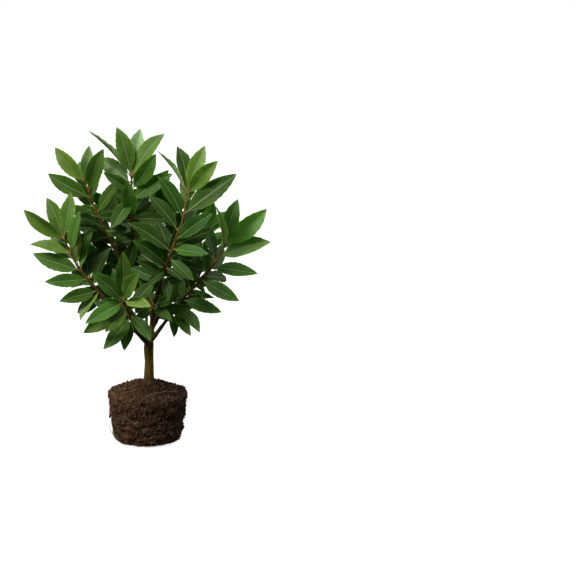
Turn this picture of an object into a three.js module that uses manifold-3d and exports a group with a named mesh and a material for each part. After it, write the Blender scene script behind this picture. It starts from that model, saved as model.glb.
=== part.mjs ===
// A young bay laurel with a bare root ball, in millimetres, +Z up and -Y to the front.
// The root ball stands on z = 0 and the trunk rises along the z axis.
import * as THREE from 'three';
import { mergeVertices } from 'three/addons/utils/BufferGeometryUtils.js';
import Module from 'manifold-3d';

const wasm = await Module();
wasm.setup();

// ---------------------------------------------------------------- driving dimensions

const JOINT_GAP = 0.3; // between two nodes that meet

// Root ball: a straight-sided plug with a rounded foot, a soft rim and a mounded top.
const BALL_RIM_RADIUS = 74.5;
const BALL_FOOT_RADIUS = 65;
const BALL_RIM_HEIGHT = 93;
const BALL_TOP_HEIGHT = 112;
const FOOT_ROUND = 6;
const RIM_ROUND = 4;
const BALL_SIDES = 32;
const BALL_SIDE_RINGS = 6;
const MOUND_RINGS = [0.95, 0.84, 0.71, 0.57, 0.43, 0.3, 0.16, 0]; // shares of the rim's radius
const MOUND_EASE = 1.1; // above 1, the mound is fuller
const SOIL_RELIEF = 1.9;
const RELIEF_FADE_HEIGHT = 12; // the relief dies out down to the flat foot,
const RELIEF_FADE_RADIUS = 20; // and in towards the axis
// Waves of the soil: how many, how their directions and phases step on, in radians, and how
// many radians they make in a millimetre, first and more for each.
const WAVES = { count: 8, slope: 1.7, turn: 2.4, phase: 1.3, pitch: 0.17, growth: 0.035 };
const HOLE_DEPTH = 40; // below the top of the mound
const HOLE_SIDES = 24;
const SURFACE_ROOT_RADIUS = 1.6;
const SURFACE_ROOT_POINTS = 7;
const SURFACE_ROOT_SPANS = 6;
const ROOT_SINK = 5; // how deep the ends of those roots go in
// Thicker roots on the surface: [turn from +X, way up the outline from the foot, sweep, climb,
// bow], turn and sweep in degrees. The first one crosses the front of the mound.
const SURFACE_ROOTS = [
  [348, 106, -84, 4, 14], [205, 62, 60, -20, 6], [300, 40, 50, 12, -6], [20, 60, 70, -22, 5],
  [120, 70, 60, -28, 6],
];

// Wood.
const TRUNK_X = 2; // the trunk stands a little right of the middle
const TRUNK_RADIUS = 9.2;
const TRUNK_FLARE = 11;
const FORK_HEIGHT = 190;
const TRUNK_SIDES = 10;
const LIMB_SPAN = 28; // at most, from ring to ring
const LIMB_SIDES = 7;
const TWIG_SPANS = 4;
const TWIG_SIDES = 5;
const TWIG_TIP_RADIUS = 1.2;
const TWIG_TAPER = 0.0135; // radius gained per millimetre down from the tip
const BUD_LENGTH = 7;
const BUD_RADIUS = 1.5;
const LINE_STEPS = 12; // samples in each span of a stem's line

// Leaves. Stations are fractions of the length, widths are fractions of the greatest width.
const LEAF_THICKNESS = 0.9;
const LEAF_WIDTH = 0.33; // of the length
const PETIOLE_WIDTH = 2.2;
const PETIOLE_END = 0.09;
const BLADE_STATIONS = [[0.28, 0.8], [0.53, 1], [0.79, 0.62]];
const LEAF_ARCH = 0.05; // of the length
const LEAF_FOLD = 0.22; // rise of the blade to each side of the midrib
const MARGIN_WAVE = 0.013; // of the length
const STEM_FACING = 0.25; // how far upper faces turn from the shoot's side towards its tip
const FACE_SPREAD = 30; // degrees over which upper faces turn by chance
const CLEARANCE = 1.3; // round a leaf, to whatever belongs to another node
const SIBLING_CLEARANCE = 0.2; // round a blade, to the other leaves of its own shoot
const BLADE_START = 0.2; // of the length, where siblings have come apart

// Each shoot: the line of its stem from inside the older wood to the tip, the length of it
// that is bare and belongs to the trunk, and the side that its leaves face. A leaf is
// [distance below the tip, heading in the front elevation, lean to the front, length, roll].
const FRONT = [0, -1, 0.5];
const BACK = [0, 1, 0.5];
const SHOOTS = [
  {
    name: 'shoot_left',
    stem: [[2, 0, 184], [-25, -8, 213], [-52, -14, 245], [-80, -20, 277], [-126, -22, 334],
      [-154, -20, 391]],
    bare: 118,
    facing: [-0.5, -0.85, 0.45],
    leaves: [
      [4, 144, -5, 90, -20], [5, 112, -15, 84], [3, 80, -12, 86, 35], [31, 75, 15, 84],
      [34, 165, 5, 76, 25], [70, 160, 5, 92], [90, 181, 20, 80, -20], [60, 90, -30, 84],
      [68, 74, -15, 84], [118, 191, 25, 76, -40], [122, 233, 30, 66, -10], [20, 125, -50, 80],
      [48, 144, -50, 80, 20], [95, 100, -50, 80], [110, 150, -45, 75], [105, 66, -10, 78],
      [89, 24, -25, 72, 35], [133, 216, -25, 68, -35],
    ],
  },
  {
    name: 'shoot_front_low',
    stem: [[2, 0, 186], [-14, -16, 206], [-25, -38, 225], [-34, -76, 261], [-44, -112, 293]],
    bare: 46,
    facing: FRONT,
    leaves: [
      [5, 135, 15, 80], [3, 90, -5, 88], [4, 65, 35, 80], [6, 0, 45, 68], [9, 205, 30, 84],
      [14, 215, 10, 90, -40], [25, 225, 50, 76], [65, 226, 40, 86], [72, 254, 40, 66],
      [55, 315, 38, 70], [30, 110, -25, 78], [48, 50, -15, 75], [58, 160, 0, 70], [89, 120, 0, 76],
    ],
  },
  {
    name: 'shoot_upper_left',
    stem: [[5, 5, 250], [-24, 15, 288], [-59, 28, 355], [-94, 30, 428], [-119, 30, 493]],
    bare: 75,
    facing: [-0.3, -0.95, 0.5],
    leaves: [
      [6, 131, -5, 84, -20], [2, 80, 12, 68, 35], [25, 72, 10, 88, 50], [38, 152, -5, 91],
      [42, 76, -45, 78], [68, 55, 15, 82], [76, 165, 30, 80], [60, 135, -40, 78], [98, 150, 45, 80],
      [105, 10, 50, 75], [20, 113, -50, 78, -20], [88, 60, -50, 80, 40], [125, 125, -50, 80],
      [118, 185, 20, 78], [140, 205, 30, 70], [135, 15, 10, 72], [95, 178, 10, 66],
      [188, 72, 25, 74, 35], [155, 144, 0, 72, -35],
    ],
  },
  {
    name: 'shoot_top',
    stem: [[2, 0, 188], [8, 2, 227], [4, 6, 268], [-15, 8, 310], [-27, 10, 378], [-30, 10, 430],
      [-30, 10, 506]],
    bare: 150,
    facing: FRONT,
    leaves: [
      [3, 106, -5, 92], [2, 80, -12, 90], [8, 133, -5, 116, 43], [5, 54, -8, 100],
      [30, 56, 12, 84, 40], [50, 35, 5, 92], [18, 146, -30, 90, -10], [83, 96, 25, 82],
      [74, 50, -45, 70], [92, 38, -35, 76], [45, 235, 35, 78], [88, 170, 45, 72], [15, 95, -50, 80, 30],
      [65, 120, -50, 78], [112, 150, -35, 78], [125, 30, 25, 75], [135, 200, 20, 75],
      [142, 330, 30, 70], [84, 358, -25, 74], [34, 144, 25, 70],
    ],
  },
  {
    name: 'shoot_upper_right',
    stem: [[8, 2, 236], [12, -20, 264], [22, -50, 308], [39, -70, 362], [52, -70, 402], [63, -64, 432],
      [71, -50, 483]],
    bare: 70,
    facing: [0.25, -0.95, 0.5],
    leaves: [
      [5, 126, 0, 92, 55], [3, 101, -18, 90], [2, 69, -5, 88], [8, 50, 10, 84, 20], [45, 37, -3, 120],
      [52, 121, -5, 88], [78, 131, -20, 88], [118, 145, 5, 96], [95, 38, 8, 84], [112, 357, 35, 76],
      [145, 140, 20, 84], [155, 210, 45, 52], [130, 320, 28, 64], [150, 332, 50, 52],
      [168, 283, 40, 54], [30, 90, -50, 78], [70, 60, -45, 80, 40], [128, 110, -45, 78],
      [105, 20, -20, 80], [165, 150, 20, 60], [133, 72, 0, 76],
    ],
  },
  {
    name: 'shoot_right',
    stem: [[3, 0, 188], [15, -3, 204], [40, -10, 240], [67, -14, 277], [92, -14, 303], [122, -12, 339],
      [144, -10, 378]],
    bare: 62,
    facing: [0.5, -0.85, 0.45],
    leaves: [
      [4, 104, 25, 90, 55], [3, 75, -8, 91, -20], [4, 41, 0, 106], [28, 18, 0, 103], [40, 107, -15, 88],
      [52, 355, 15, 89], [72, 342, -50, 76], [82, 333, 18, 83, 20], [133, 343, 12, 78],
      [148, 315, 35, 72, 20], [158, 305, 35, 63, 40], [168, 278, 40, 50, 20], [105, 330, 60, 50],
      [85, 105, -25, 75], [110, 110, -30, 75], [15, 60, -50, 80], [60, 54, -50, 82], [120, 75, -45, 75],
      [100, 20, -50, 75], [62, 165, 5, 70], [70, 95, 15, 70], [128, 170, 30, 52], [166, 24, -25, 74],
    ],
  },
  {
    name: 'shoot_inner',
    stem: [[7, 1, 222], [8, -14, 238], [8, -28, 255], [10, -40, 272]],
    bare: 18,
    facing: FRONT,
    leaves: [
      [4, 75, -15, 66], [3, 110, -10, 66], [8, 25, 5, 62], [12, 335, 52, 60], [16, 205, 25, 50],
      [26, 50, -30, 60], [12, 0, -25, 70, 35],
    ],
  },
  {
    name: 'shoot_back_left',
    stem: [[0, 2, 196], [-24, 32, 230], [-54, 66, 266], [-84, 98, 316], [-104, 118, 368]],
    bare: 70,
    facing: [-0.6, 0.8, 0.5],
    spiral: 14,
  },
  {
    name: 'shoot_back_right',
    stem: [[6, 3, 212], [30, 38, 245], [62, 72, 285], [92, 100, 332], [112, 120, 384]],
    bare: 65,
    facing: [0.6, 0.8, 0.5],
    spiral: 14,
  },
  {
    name: 'shoot_back_low',
    stem: [[2, 2, 190], [-2, 30, 208], [-2, 66, 232], [4, 104, 262], [8, 132, 300]],
    bare: 55,
    facing: BACK,
    spiral: 11,
  },
  {
    name: 'shoot_back_upper_left',
    stem: [[7, 5, 240], [-16, 40, 280], [-38, 68, 330], [-58, 84, 385], [-68, 92, 425]],
    bare: 70,
    facing: BACK,
    spiral: 13,
  },
  {
    name: 'shoot_back_upper_right',
    stem: [[6, 5, 260], [26, 34, 300], [42, 58, 350], [52, 72, 400], [56, 78, 428]],
    bare: 60,
    facing: BACK,
    spiral: 13,
  },
  {
    name: 'shoot_back_top',
    stem: [[-9, 8, 296], [-2, 36, 330], [2, 64, 375], [2, 80, 425], [2, 86, 450]],
    bare: 45,
    facing: BACK,
    spiral: 12,
  },
];

// Leaves that follow the spiral rule.
const SPIRAL_TURN = 137.5; // degrees from leaf to leaf
const TIP_LEAVES = 4; // crowded at the tip
const TIP_SPACING = 3;
const SPACING = 13;
const SPIRAL_LENGTH = 82;
const LENGTH_SPREAD = 0.24;
const SPLAY_AT_TIP = 28;
const SPLAY_AT_BASE = 66;
const SPLAY_SPREAD = 10;
const DROOP = 0.12;

// What a leaf tries in turn when it would meet another shoot: [heading, lean] in degrees.
const NUDGES = [
  [0, 0], [0, 8], [0, -8], [5, 0], [-5, 0], [0, 16], [0, -16], [8, 10], [-8, 10], [8, -10], [-8, -10],
  [0, 26], [0, -26], [14, 0], [-14, 0], [14, 18], [-14, 18], [14, -18], [-14, -18], [24, 0], [-24, 0],
];

const SEEDS_PER_SHOOT = 40;

const SOIL_COLOR = 0x3a2517;
const BARK_COLOR = 0x5d5236;
const LEAF_COLOR = 0x2f5a24;

// ---------------------------------------------------------------- small tools

const MERGE_WITHIN = 1e-4;
const lerp = THREE.MathUtils.lerp;
const radians = THREE.MathUtils.degToRad;
const degrees = THREE.MathUtils.radToDeg;
const vector = ([x, y, z]) => new THREE.Vector3(x, y, z);
const UP = new THREE.Vector3(0, 0, 1);

// A repeatable draw between 0 and 1.
function draw(seed) {
  const value = Math.sin(seed * 12.9898) * 43758.5453;
  return value - Math.floor(value);
}

// A closed skin over rings that run round their axis, with as many points in each ring.
// Quads from the side numbered `flipped` on are split the other way.
function skin(rings, flipped = Infinity) {
  const sides = rings[0].length;
  const faces = [];
  for (let i = 0; i + 1 < rings.length; i++) {
    for (let k = 0; k < sides; k++) {
      const a = i * sides + k;
      const b = i * sides + ((k + 1) % sides);
      const [c, d] = [b + sides, a + sides];
      if (k < flipped) faces.push([a, b, c], [a, c, d]);
      else faces.push([a, b, d], [b, c, d]);
    }
  }
  const last = (rings.length - 1) * sides;
  for (let k = 1; k + 1 < sides; k++) {
    faces.push([0, k + 1, k], [last, last + k, last + k + 1]);
  }
  const geometry = new THREE.BufferGeometry();
  const numbers = rings.flat().flatMap((point) => point.toArray());
  geometry.setAttribute('position', new THREE.Float32BufferAttribute(numbers, 3));
  geometry.setIndex(faces.flat());
  return geometry;
}

// A solid to fuse and cut, without the faces that collapse where a ring shrinks to a point.
function solidOf(geometry) {
  geometry.deleteAttribute('normal');
  geometry.deleteAttribute('uv');
  const merged = mergeVertices(geometry, MERGE_WITHIN);
  const index = merged.index.array;
  const kept = [];
  for (let i = 0; i < index.length; i += 3) {
    const [a, b, c] = [index[i], index[i + 1], index[i + 2]];
    if (a !== b && b !== c && c !== a) kept.push(a, b, c);
  }
  const vertProperties = new Float32Array(merged.attributes.position.array);
  return new wasm.Manifold(new wasm.Mesh({ numProp: 3, vertProperties, triVerts: new Uint32Array(kept) }));
}

function geometryOf(solid) {
  const mesh = solid.getMesh();
  const geometry = new THREE.BufferGeometry();
  geometry.setAttribute('position', new THREE.BufferAttribute(mesh.vertProperties, 3));
  geometry.setIndex(new THREE.BufferAttribute(mesh.triVerts, 1));
  geometry.computeVertexNormals();
  return geometry;
}

// ---------------------------------------------------------------- stems

// The smooth line through hand-placed points, as samples with their distance from the start.
function stemLine(stem) {
  const curve = new THREE.CatmullRomCurve3(stem.map(vector), false, 'catmullrom', 0.5);
  const points = curve.getPoints(LINE_STEPS * (stem.length - 1));
  const distances = [0];
  for (let i = 1; i < points.length; i++) {
    distances.push(distances[i - 1] + points[i].distanceTo(points[i - 1]));
  }
  return { points, distances, length: distances.at(-1) };
}

// The point and the direction at a distance from the start of a stem.
function placeOn(line, distance) {
  let i = 1;
  while (i < line.points.length - 1 && line.distances[i] < distance) i++;
  const start = line.points[i - 1];
  const along = line.points[i].clone().sub(start).normalize();
  return { point: start.clone().addScaledVector(along, distance - line.distances[i - 1]), along };
}

// A round stem through stops of [distance along the line, radius].
function stemGeometry(line, stops, sides) {
  const side = new THREE.Vector3(1, 0.3, 0);
  const rings = stops.map(([distance, radius]) => {
    const { point, along } = placeOn(line, distance);
    side.addScaledVector(along, -side.dot(along)).normalize();
    const across = along.clone().cross(side);
    return Array.from({ length: sides }, (_, k) => {
      const turn = (2 * Math.PI * k) / sides;
      return point.clone()
        .addScaledVector(side, radius * Math.cos(turn))
        .addScaledVector(across, radius * Math.sin(turn));
    });
  });
  return skin(rings);
}

const twigRadius = (line, distance) => TWIG_TIP_RADIUS + TWIG_TAPER * (line.length - distance);

function taperedStops(line, from, to, spans) {
  return Array.from({ length: spans + 1 }, (_, i) => {
    const distance = from + ((to - from) * i) / spans;
    return [distance, twigRadius(line, distance)];
  });
}

// ---------------------------------------------------------------- leaves

// Leaves of a shoot whose far side is not set out by hand: a spiral, crowded at the tip,
// that opens out and hangs lower towards the base.
function spiralLeaves(line, count, seed) {
  return Array.from({ length: count }, (_, k) => {
    const crowded = Math.min(k + 1, TIP_LEAVES);
    const below = TIP_SPACING * crowded + SPACING * (k + 1 - crowded);
    const { along } = placeOn(line, line.length - below);
    const splay = radians(lerp(SPLAY_AT_TIP, SPLAY_AT_BASE, k / count) + SPLAY_SPREAD * draw(seed + k));
    const axis = UP.clone().addScaledVector(along, -UP.dot(along)).normalize();
    axis.applyAxisAngle(along, radians(SPIRAL_TURN * k + 360 * draw(seed)));
    const direction = along.clone().multiplyScalar(Math.cos(splay)).addScaledVector(axis, Math.sin(splay));
    direction.z -= DROOP;
    direction.normalize();
    const heading = degrees(Math.atan2(direction.z, direction.x));
    const lean = degrees(Math.asin(-direction.y));
    const length = SPIRAL_LENGTH * (1 + LENGTH_SPREAD * (draw(seed + k + 0.5) - 0.5));
    return [below, heading, lean, length];
  });
}

// Where a leaf grows and how it lies: root, direction, and the way its upper face looks.
function leafPose(shoot, line, leaf, seed, nudge) {
  const [below, heading, lean, length, roll = 0] = leaf;
  const { point, along } = placeOn(line, line.length - below);
  const turn = radians(heading + nudge[0]);
  const tilt = radians(lean + nudge[1]);
  const direction = new THREE.Vector3(
    Math.cos(turn) * Math.cos(tilt), -Math.sin(tilt), Math.sin(turn) * Math.cos(tilt));
  const face = vector(shoot.facing).addScaledVector(along, STEM_FACING);
  face.addScaledVector(direction, -face.dot(direction)).normalize();
  face.applyAxisAngle(direction, radians(roll + FACE_SPREAD * (draw(seed) - 0.5)));
  return { root: point, direction, face, length, phase: 2 * Math.PI * draw(seed + 0.5) };
}

// A point of the leaf: its arch along the length, its fold along the midrib, its waved margin.
function leafPoint(pose, station, across, lift) {
  const { root, direction, face, length, phase } = pose;
  const side = direction.clone().cross(face);
  const blade = THREE.MathUtils.clamp((station - PETIOLE_END) / (1 - PETIOLE_END), 0, 1);
  const margin = Math.min(1, (2 * Math.abs(across)) / (LEAF_WIDTH * length));
  const wave = Math.sin(3 * Math.PI * blade + phase + Math.sign(across)) * Math.sin(Math.PI * blade);
  const arch = LEAF_ARCH * length * Math.sin(Math.PI * station);
  const fold = LEAF_FOLD * Math.abs(across) * Math.sqrt(blade);
  const height = arch + fold + MARGIN_WAVE * length * wave * margin;
  return root.clone()
    .addScaledVector(direction, station * length)
    .addScaledVector(side, across)
    .addScaledVector(face, height + lift);
}

// One leaf with its petiole, from a station on, thicker and wider all round by the spare amount.
function leafSolid(pose, from, spare) {
  const half = (LEAF_WIDTH * pose.length) / 2;
  const lift = LEAF_THICKNESS / 2 + spare;
  const bar = PETIOLE_WIDTH / 2 + spare;
  const ring = (station, outline) =>
    outline.map(([across, rise]) => leafPoint(pose, station, across, rise));
  const petiole = [[-bar, 0], [0, bar], [bar, 0], [bar, 0], [0, -bar], [-bar, 0]];
  const rings = [ring(from, petiole), ring(Math.max(PETIOLE_END, from + 0.01), petiole)];
  for (const [station, share] of BLADE_STATIONS) {
    const edge = share * half + spare;
    const upper = [[-edge, lift], [0, lift], [edge, lift]];
    rings.push(ring(station, [...upper, [edge, -lift], [0, -lift], [-edge, -lift]]));
  }
  const tip = 1 + spare / pose.length;
  const [top, bottom] = [leafPoint(pose, tip, 0, lift), leafPoint(pose, tip, 0, -lift)];
  rings.push([top, top, top, bottom, bottom, bottom]);
  return solidOf(skin(rings, 3));
}

// ---------------------------------------------------------------- root ball

// Rise and fall of the soil between about -1 and 1: waves of several lengths in all directions.
function relief(x, y, z) {
  let sum = 0;
  for (let i = 0; i < WAVES.count; i++) {
    const slope = Math.cos(WAVES.slope * i + 0.5);
    const level = Math.sqrt(1 - slope * slope);
    const turn = WAVES.turn * i;
    const across = level * (Math.cos(turn) * x + Math.sin(turn) * y) + slope * z;
    sum += Math.sin((WAVES.pitch + WAVES.growth * i) * across + WAVES.phase * i);
  }
  return sum / Math.sqrt(1.5 * WAVES.count);
}

// The outline of the ball, as [radius, height] from the middle of its foot to that of its top.
function ballOutline() {
  const outline = [[0, 0], [BALL_FOOT_RADIUS - FOOT_ROUND, 0]];
  for (const turn of [45, 90]) {
    outline.push([
      BALL_FOOT_RADIUS - FOOT_ROUND * (1 - Math.sin(radians(turn))),
      FOOT_ROUND * (1 - Math.cos(radians(turn))),
    ]);
  }
  for (let i = 1; i <= BALL_SIDE_RINGS; i++) {
    outline.push([
      lerp(BALL_FOOT_RADIUS, BALL_RIM_RADIUS, i / BALL_SIDE_RINGS),
      lerp(FOOT_ROUND, BALL_RIM_HEIGHT - RIM_ROUND, i / BALL_SIDE_RINGS),
    ]);
  }
  for (const share of MOUND_RINGS) {
    const rise = (1 + Math.cos(Math.PI * share ** MOUND_EASE)) / 2;
    outline.push([BALL_RIM_RADIUS * share, lerp(BALL_RIM_HEIGHT, BALL_TOP_HEIGHT, rise)]);
  }
  return outline;
}

// The surface at a point of the outline and a turn about the axis, with the soil's relief.
function ballPoint([radius, height], turn) {
  const [x, y] = [radius * Math.cos(turn), radius * Math.sin(turn)];
  if (height === 0) return new THREE.Vector3(x, y, 0);
  const onTop = radius < BALL_RIM_RADIUS - 1 && height > BALL_RIM_HEIGHT - 1;
  const fade = Math.min(1, height / RELIEF_FADE_HEIGHT) * Math.min(1, radius / RELIEF_FADE_RADIUS);
  const bulge = SOIL_RELIEF * fade * relief(x, y, height);
  if (onTop) return new THREE.Vector3(x, y, height + bulge);
  return new THREE.Vector3(x * (1 + bulge / radius), y * (1 + bulge / radius), height);
}

// The point of the outline that lies this far up it from the edge of the foot.
function upOutline(outline, distance) {
  let left = distance;
  for (let i = 1; i + 1 < outline.length; i++) {
    const [from, to] = [outline[i], outline[i + 1]];
    const step = Math.hypot(to[0] - from[0], to[1] - from[1]);
    if (left <= step) return [lerp(from[0], to[0], left / step), lerp(from[1], to[1], left / step)];
    left -= step;
  }
  return outline.at(-1);
}

// A thicker root along the surface, half sunk, with both its ends in the soil.
function surfaceRoot(outline, [turn, start, sweep, climb, bow]) {
  const middle = new THREE.Vector3(0, 0, BALL_RIM_HEIGHT / 2);
  const stem = Array.from({ length: SURFACE_ROOT_POINTS }, (_, i) => {
    const share = i / (SURFACE_ROOT_POINTS - 1);
    const up = start + climb * share + bow * Math.sin(Math.PI * share);
    const point = ballPoint(upOutline(outline, up), radians(turn + sweep * share));
    const inwards = middle.clone().sub(point).normalize();
    if (share === 0 || share === 1) point.addScaledVector(inwards, ROOT_SINK);
    return point.toArray();
  });
  const line = stemLine(stem);
  const stops = Array.from({ length: SURFACE_ROOT_SPANS + 1 }, (_, i) =>
    [(line.length * i) / SURFACE_ROOT_SPANS, SURFACE_ROOT_RADIUS]);
  return solidOf(stemGeometry(line, stops, TWIG_SIDES));
}

function rootBall() {
  const outline = ballOutline();
  const rings = outline.map((stop) => Array.from({ length: BALL_SIDES }, (_, k) =>
    ballPoint(stop, (2 * Math.PI * k) / BALL_SIDES)));
  let ball = solidOf(skin(rings));
  for (const root of SURFACE_ROOTS) ball = ball.add(surfaceRoot(outline, root));
  const bore = TRUNK_FLARE + JOINT_GAP;
  const hole = new THREE.CylinderGeometry(bore, bore, 2 * HOLE_DEPTH, HOLE_SIDES);
  hole.rotateX(Math.PI / 2);
  hole.translate(TRUNK_X, 0, BALL_TOP_HEIGHT);
  return ball.subtract(solidOf(hole));
}

// ---------------------------------------------------------------- trunk and shoots

const lines = SHOOTS.map((shoot) => stemLine(shoot.stem));

function trunk() {
  const foot = BALL_TOP_HEIGHT - HOLE_DEPTH + JOINT_GAP;
  const stops = [
    [foot, TRUNK_FLARE], [BALL_TOP_HEIGHT + 3, TRUNK_FLARE],
    [BALL_TOP_HEIGHT + 11, TRUNK_RADIUS + 0.6], [BALL_TOP_HEIGHT + 24, TRUNK_RADIUS],
    [FORK_HEIGHT - 16, TRUNK_RADIUS - 0.2], [FORK_HEIGHT - 4, TRUNK_RADIUS - 0.6],
    [FORK_HEIGHT + 6, TRUNK_RADIUS / 2],
  ];
  const line = stemLine(stops.map(([height]) => [TRUNK_X, 0, height]));
  const rings = stops.map(([height, radius]) => [height - foot, radius]);
  let wood = solidOf(stemGeometry(line, rings, TRUNK_SIDES));
  SHOOTS.forEach((shoot, i) => {
    const limb = taperedStops(lines[i], 0, shoot.bare, Math.ceil(shoot.bare / LIMB_SPAN));
    wood = wood.add(solidOf(stemGeometry(lines[i], limb, LIMB_SIDES)));
  });
  return wood;
}

function twig(line, bare) {
  const end = line.length;
  const stops = taperedStops(line, bare + JOINT_GAP, end - BUD_LENGTH, TWIG_SPANS);
  stops.push([end - BUD_LENGTH / 2, BUD_RADIUS], [end, 0]);
  return solidOf(stemGeometry(line, stops, TWIG_SIDES));
}

// ---------------------------------------------------------------- assembly

function occupant(node, solid) {
  const geometry = geometryOf(solid);
  geometry.computeBoundingBox();
  return { node, solid, box: geometry.boundingBox };
}

function meets(a, b) {
  return a.box.intersectsBox(b.box) && a.solid.intersect(b.solid).getMesh().triVerts.length > 0;
}

// The first pose that clears every other node, and its own siblings where that can be had.
// A leaf with no clear place doesn't grow.
function settle(shoot, line, leaf, seed, taken) {
  let crowded = null;
  for (const nudge of NUDGES) {
    const pose = leafPose(shoot, line, leaf, seed, nudge);
    const body = occupant(shoot.name, leafSolid(pose, 0, CLEARANCE));
    if (taken.some((other) => other.node !== shoot.name && meets(body, other))) continue;
    const blade = occupant(shoot.name, leafSolid(pose, BLADE_START, SIBLING_CLEARANCE));
    if (!taken.some((other) => other.node === shoot.name && meets(blade, other))) return pose;
    crowded ??= pose;
  }
  return crowded;
}

const group = new THREE.Group();

function addNode(name, solid, color, roughness) {
  const material = new THREE.MeshStandardMaterial({ color, roughness });
  const mesh = new THREE.Mesh(geometryOf(solid), material);
  mesh.name = name;
  group.add(mesh);
}

const ball = rootBall();
const wood = trunk();
const shoots = SHOOTS.map((shoot, i) => twig(lines[i], shoot.bare));
const taken = [occupant('root_ball', ball), occupant('trunk', wood)];
SHOOTS.forEach((shoot, i) => taken.push(occupant(shoot.name, shoots[i])));

SHOOTS.forEach((shoot, i) => {
  const leaves = shoot.leaves ?? spiralLeaves(lines[i], shoot.spiral, i);
  leaves.forEach((leaf, k) => {
    const pose = settle(shoot, lines[i], leaf, SEEDS_PER_SHOOT * i + k, taken);
    if (!pose) return;
    const body = leafSolid(pose, 0, 0);
    taken.push(occupant(shoot.name, body));
    shoots[i] = shoots[i].add(body);
  });
});

addNode('root_ball', ball, SOIL_COLOR, 0.95);
addNode('trunk', wood, BARK_COLOR, 0.8);
SHOOTS.forEach((shoot, i) => addNode(shoot.name, shoots[i], LEAF_COLOR, 0.5));

export default group;
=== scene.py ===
"""A young bay laurel with a bare root ball, dressed over its CAD frame.

Lengths are in millimetres, apart from those marked as metres. Meshes are made in metres, so the
scales of textures and the heights of bumps in the materials are for metres too.
"""
import itertools
import math

import bmesh
import bpy
import numpy as np
from mathutils import Matrix, Vector, noise
from mathutils.bvhtree import BVHTree
from mathutils.kdtree import KDTree


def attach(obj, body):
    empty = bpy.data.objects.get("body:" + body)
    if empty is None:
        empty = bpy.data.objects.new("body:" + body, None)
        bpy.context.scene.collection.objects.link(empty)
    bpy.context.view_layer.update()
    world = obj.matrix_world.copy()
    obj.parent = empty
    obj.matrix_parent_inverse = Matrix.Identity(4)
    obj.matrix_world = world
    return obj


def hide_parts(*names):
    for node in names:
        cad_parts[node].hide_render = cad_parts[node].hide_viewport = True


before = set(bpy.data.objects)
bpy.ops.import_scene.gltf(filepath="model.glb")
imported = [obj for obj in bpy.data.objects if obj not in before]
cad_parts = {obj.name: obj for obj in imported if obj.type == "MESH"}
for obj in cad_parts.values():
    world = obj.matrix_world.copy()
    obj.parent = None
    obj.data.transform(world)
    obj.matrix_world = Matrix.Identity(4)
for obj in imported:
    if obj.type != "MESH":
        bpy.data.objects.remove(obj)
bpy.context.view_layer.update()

MM = 0.001
rng = np.random.default_rng(7)
noise.seed_set(7)  # noise_vector starts from the clock otherwise
EYE = np.array([0, -2000, 669.19])  # where the camera stands

# ---------------------------------------------------------------- the form, as in the CAD source

BALL_RIM_RADIUS = 74.5
BALL_FOOT_RADIUS = 65
BALL_RIM_HEIGHT = 93
BALL_TOP_HEIGHT = 112
FOOT_ROUND = 6
RIM_ROUND = 4
MOUND_RINGS = [0.95, 0.84, 0.71, 0.57, 0.43, 0.3, 0.16, 0]
MOUND_EASE = 1.1
SOIL_RELIEF = 1.9
RELIEF_FADE_HEIGHT = 12
RELIEF_FADE_RADIUS = 20
WAVES = {"count": 8, "slope": 1.7, "turn": 2.4, "phase": 1.3, "pitch": 0.17, "growth": 0.035}
# Thicker roots on the surface: [turn, way up the outline, sweep, climb, bow].
SURFACE_ROOTS = [
    [348, 106, -84, 4, 14], [205, 62, 60, -20, 6], [300, 40, 50, 12, -6], [20, 60, 70, -22, 5],
    [120, 70, 60, -28, 6],
]

TRUNK_X = 2
FORK_HEIGHT = 190
TWIG_TIP_RADIUS = 1.2
TWIG_TAPER = 0.0135
BUD_LENGTH = 7
LINE_STEPS = 12

LEAF_THICKNESS = 0.9
LEAF_WIDTH = 0.33
PETIOLE_END = 0.09
BLADE_STATIONS = [[0.28, 0.8], [0.53, 1], [0.79, 0.62]]
LEAF_ARCH = 0.05
LEAF_FOLD = 0.22
MARGIN_WAVE = 0.013
STEM_FACING = 0.25
FACE_SPREAD = 30

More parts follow.
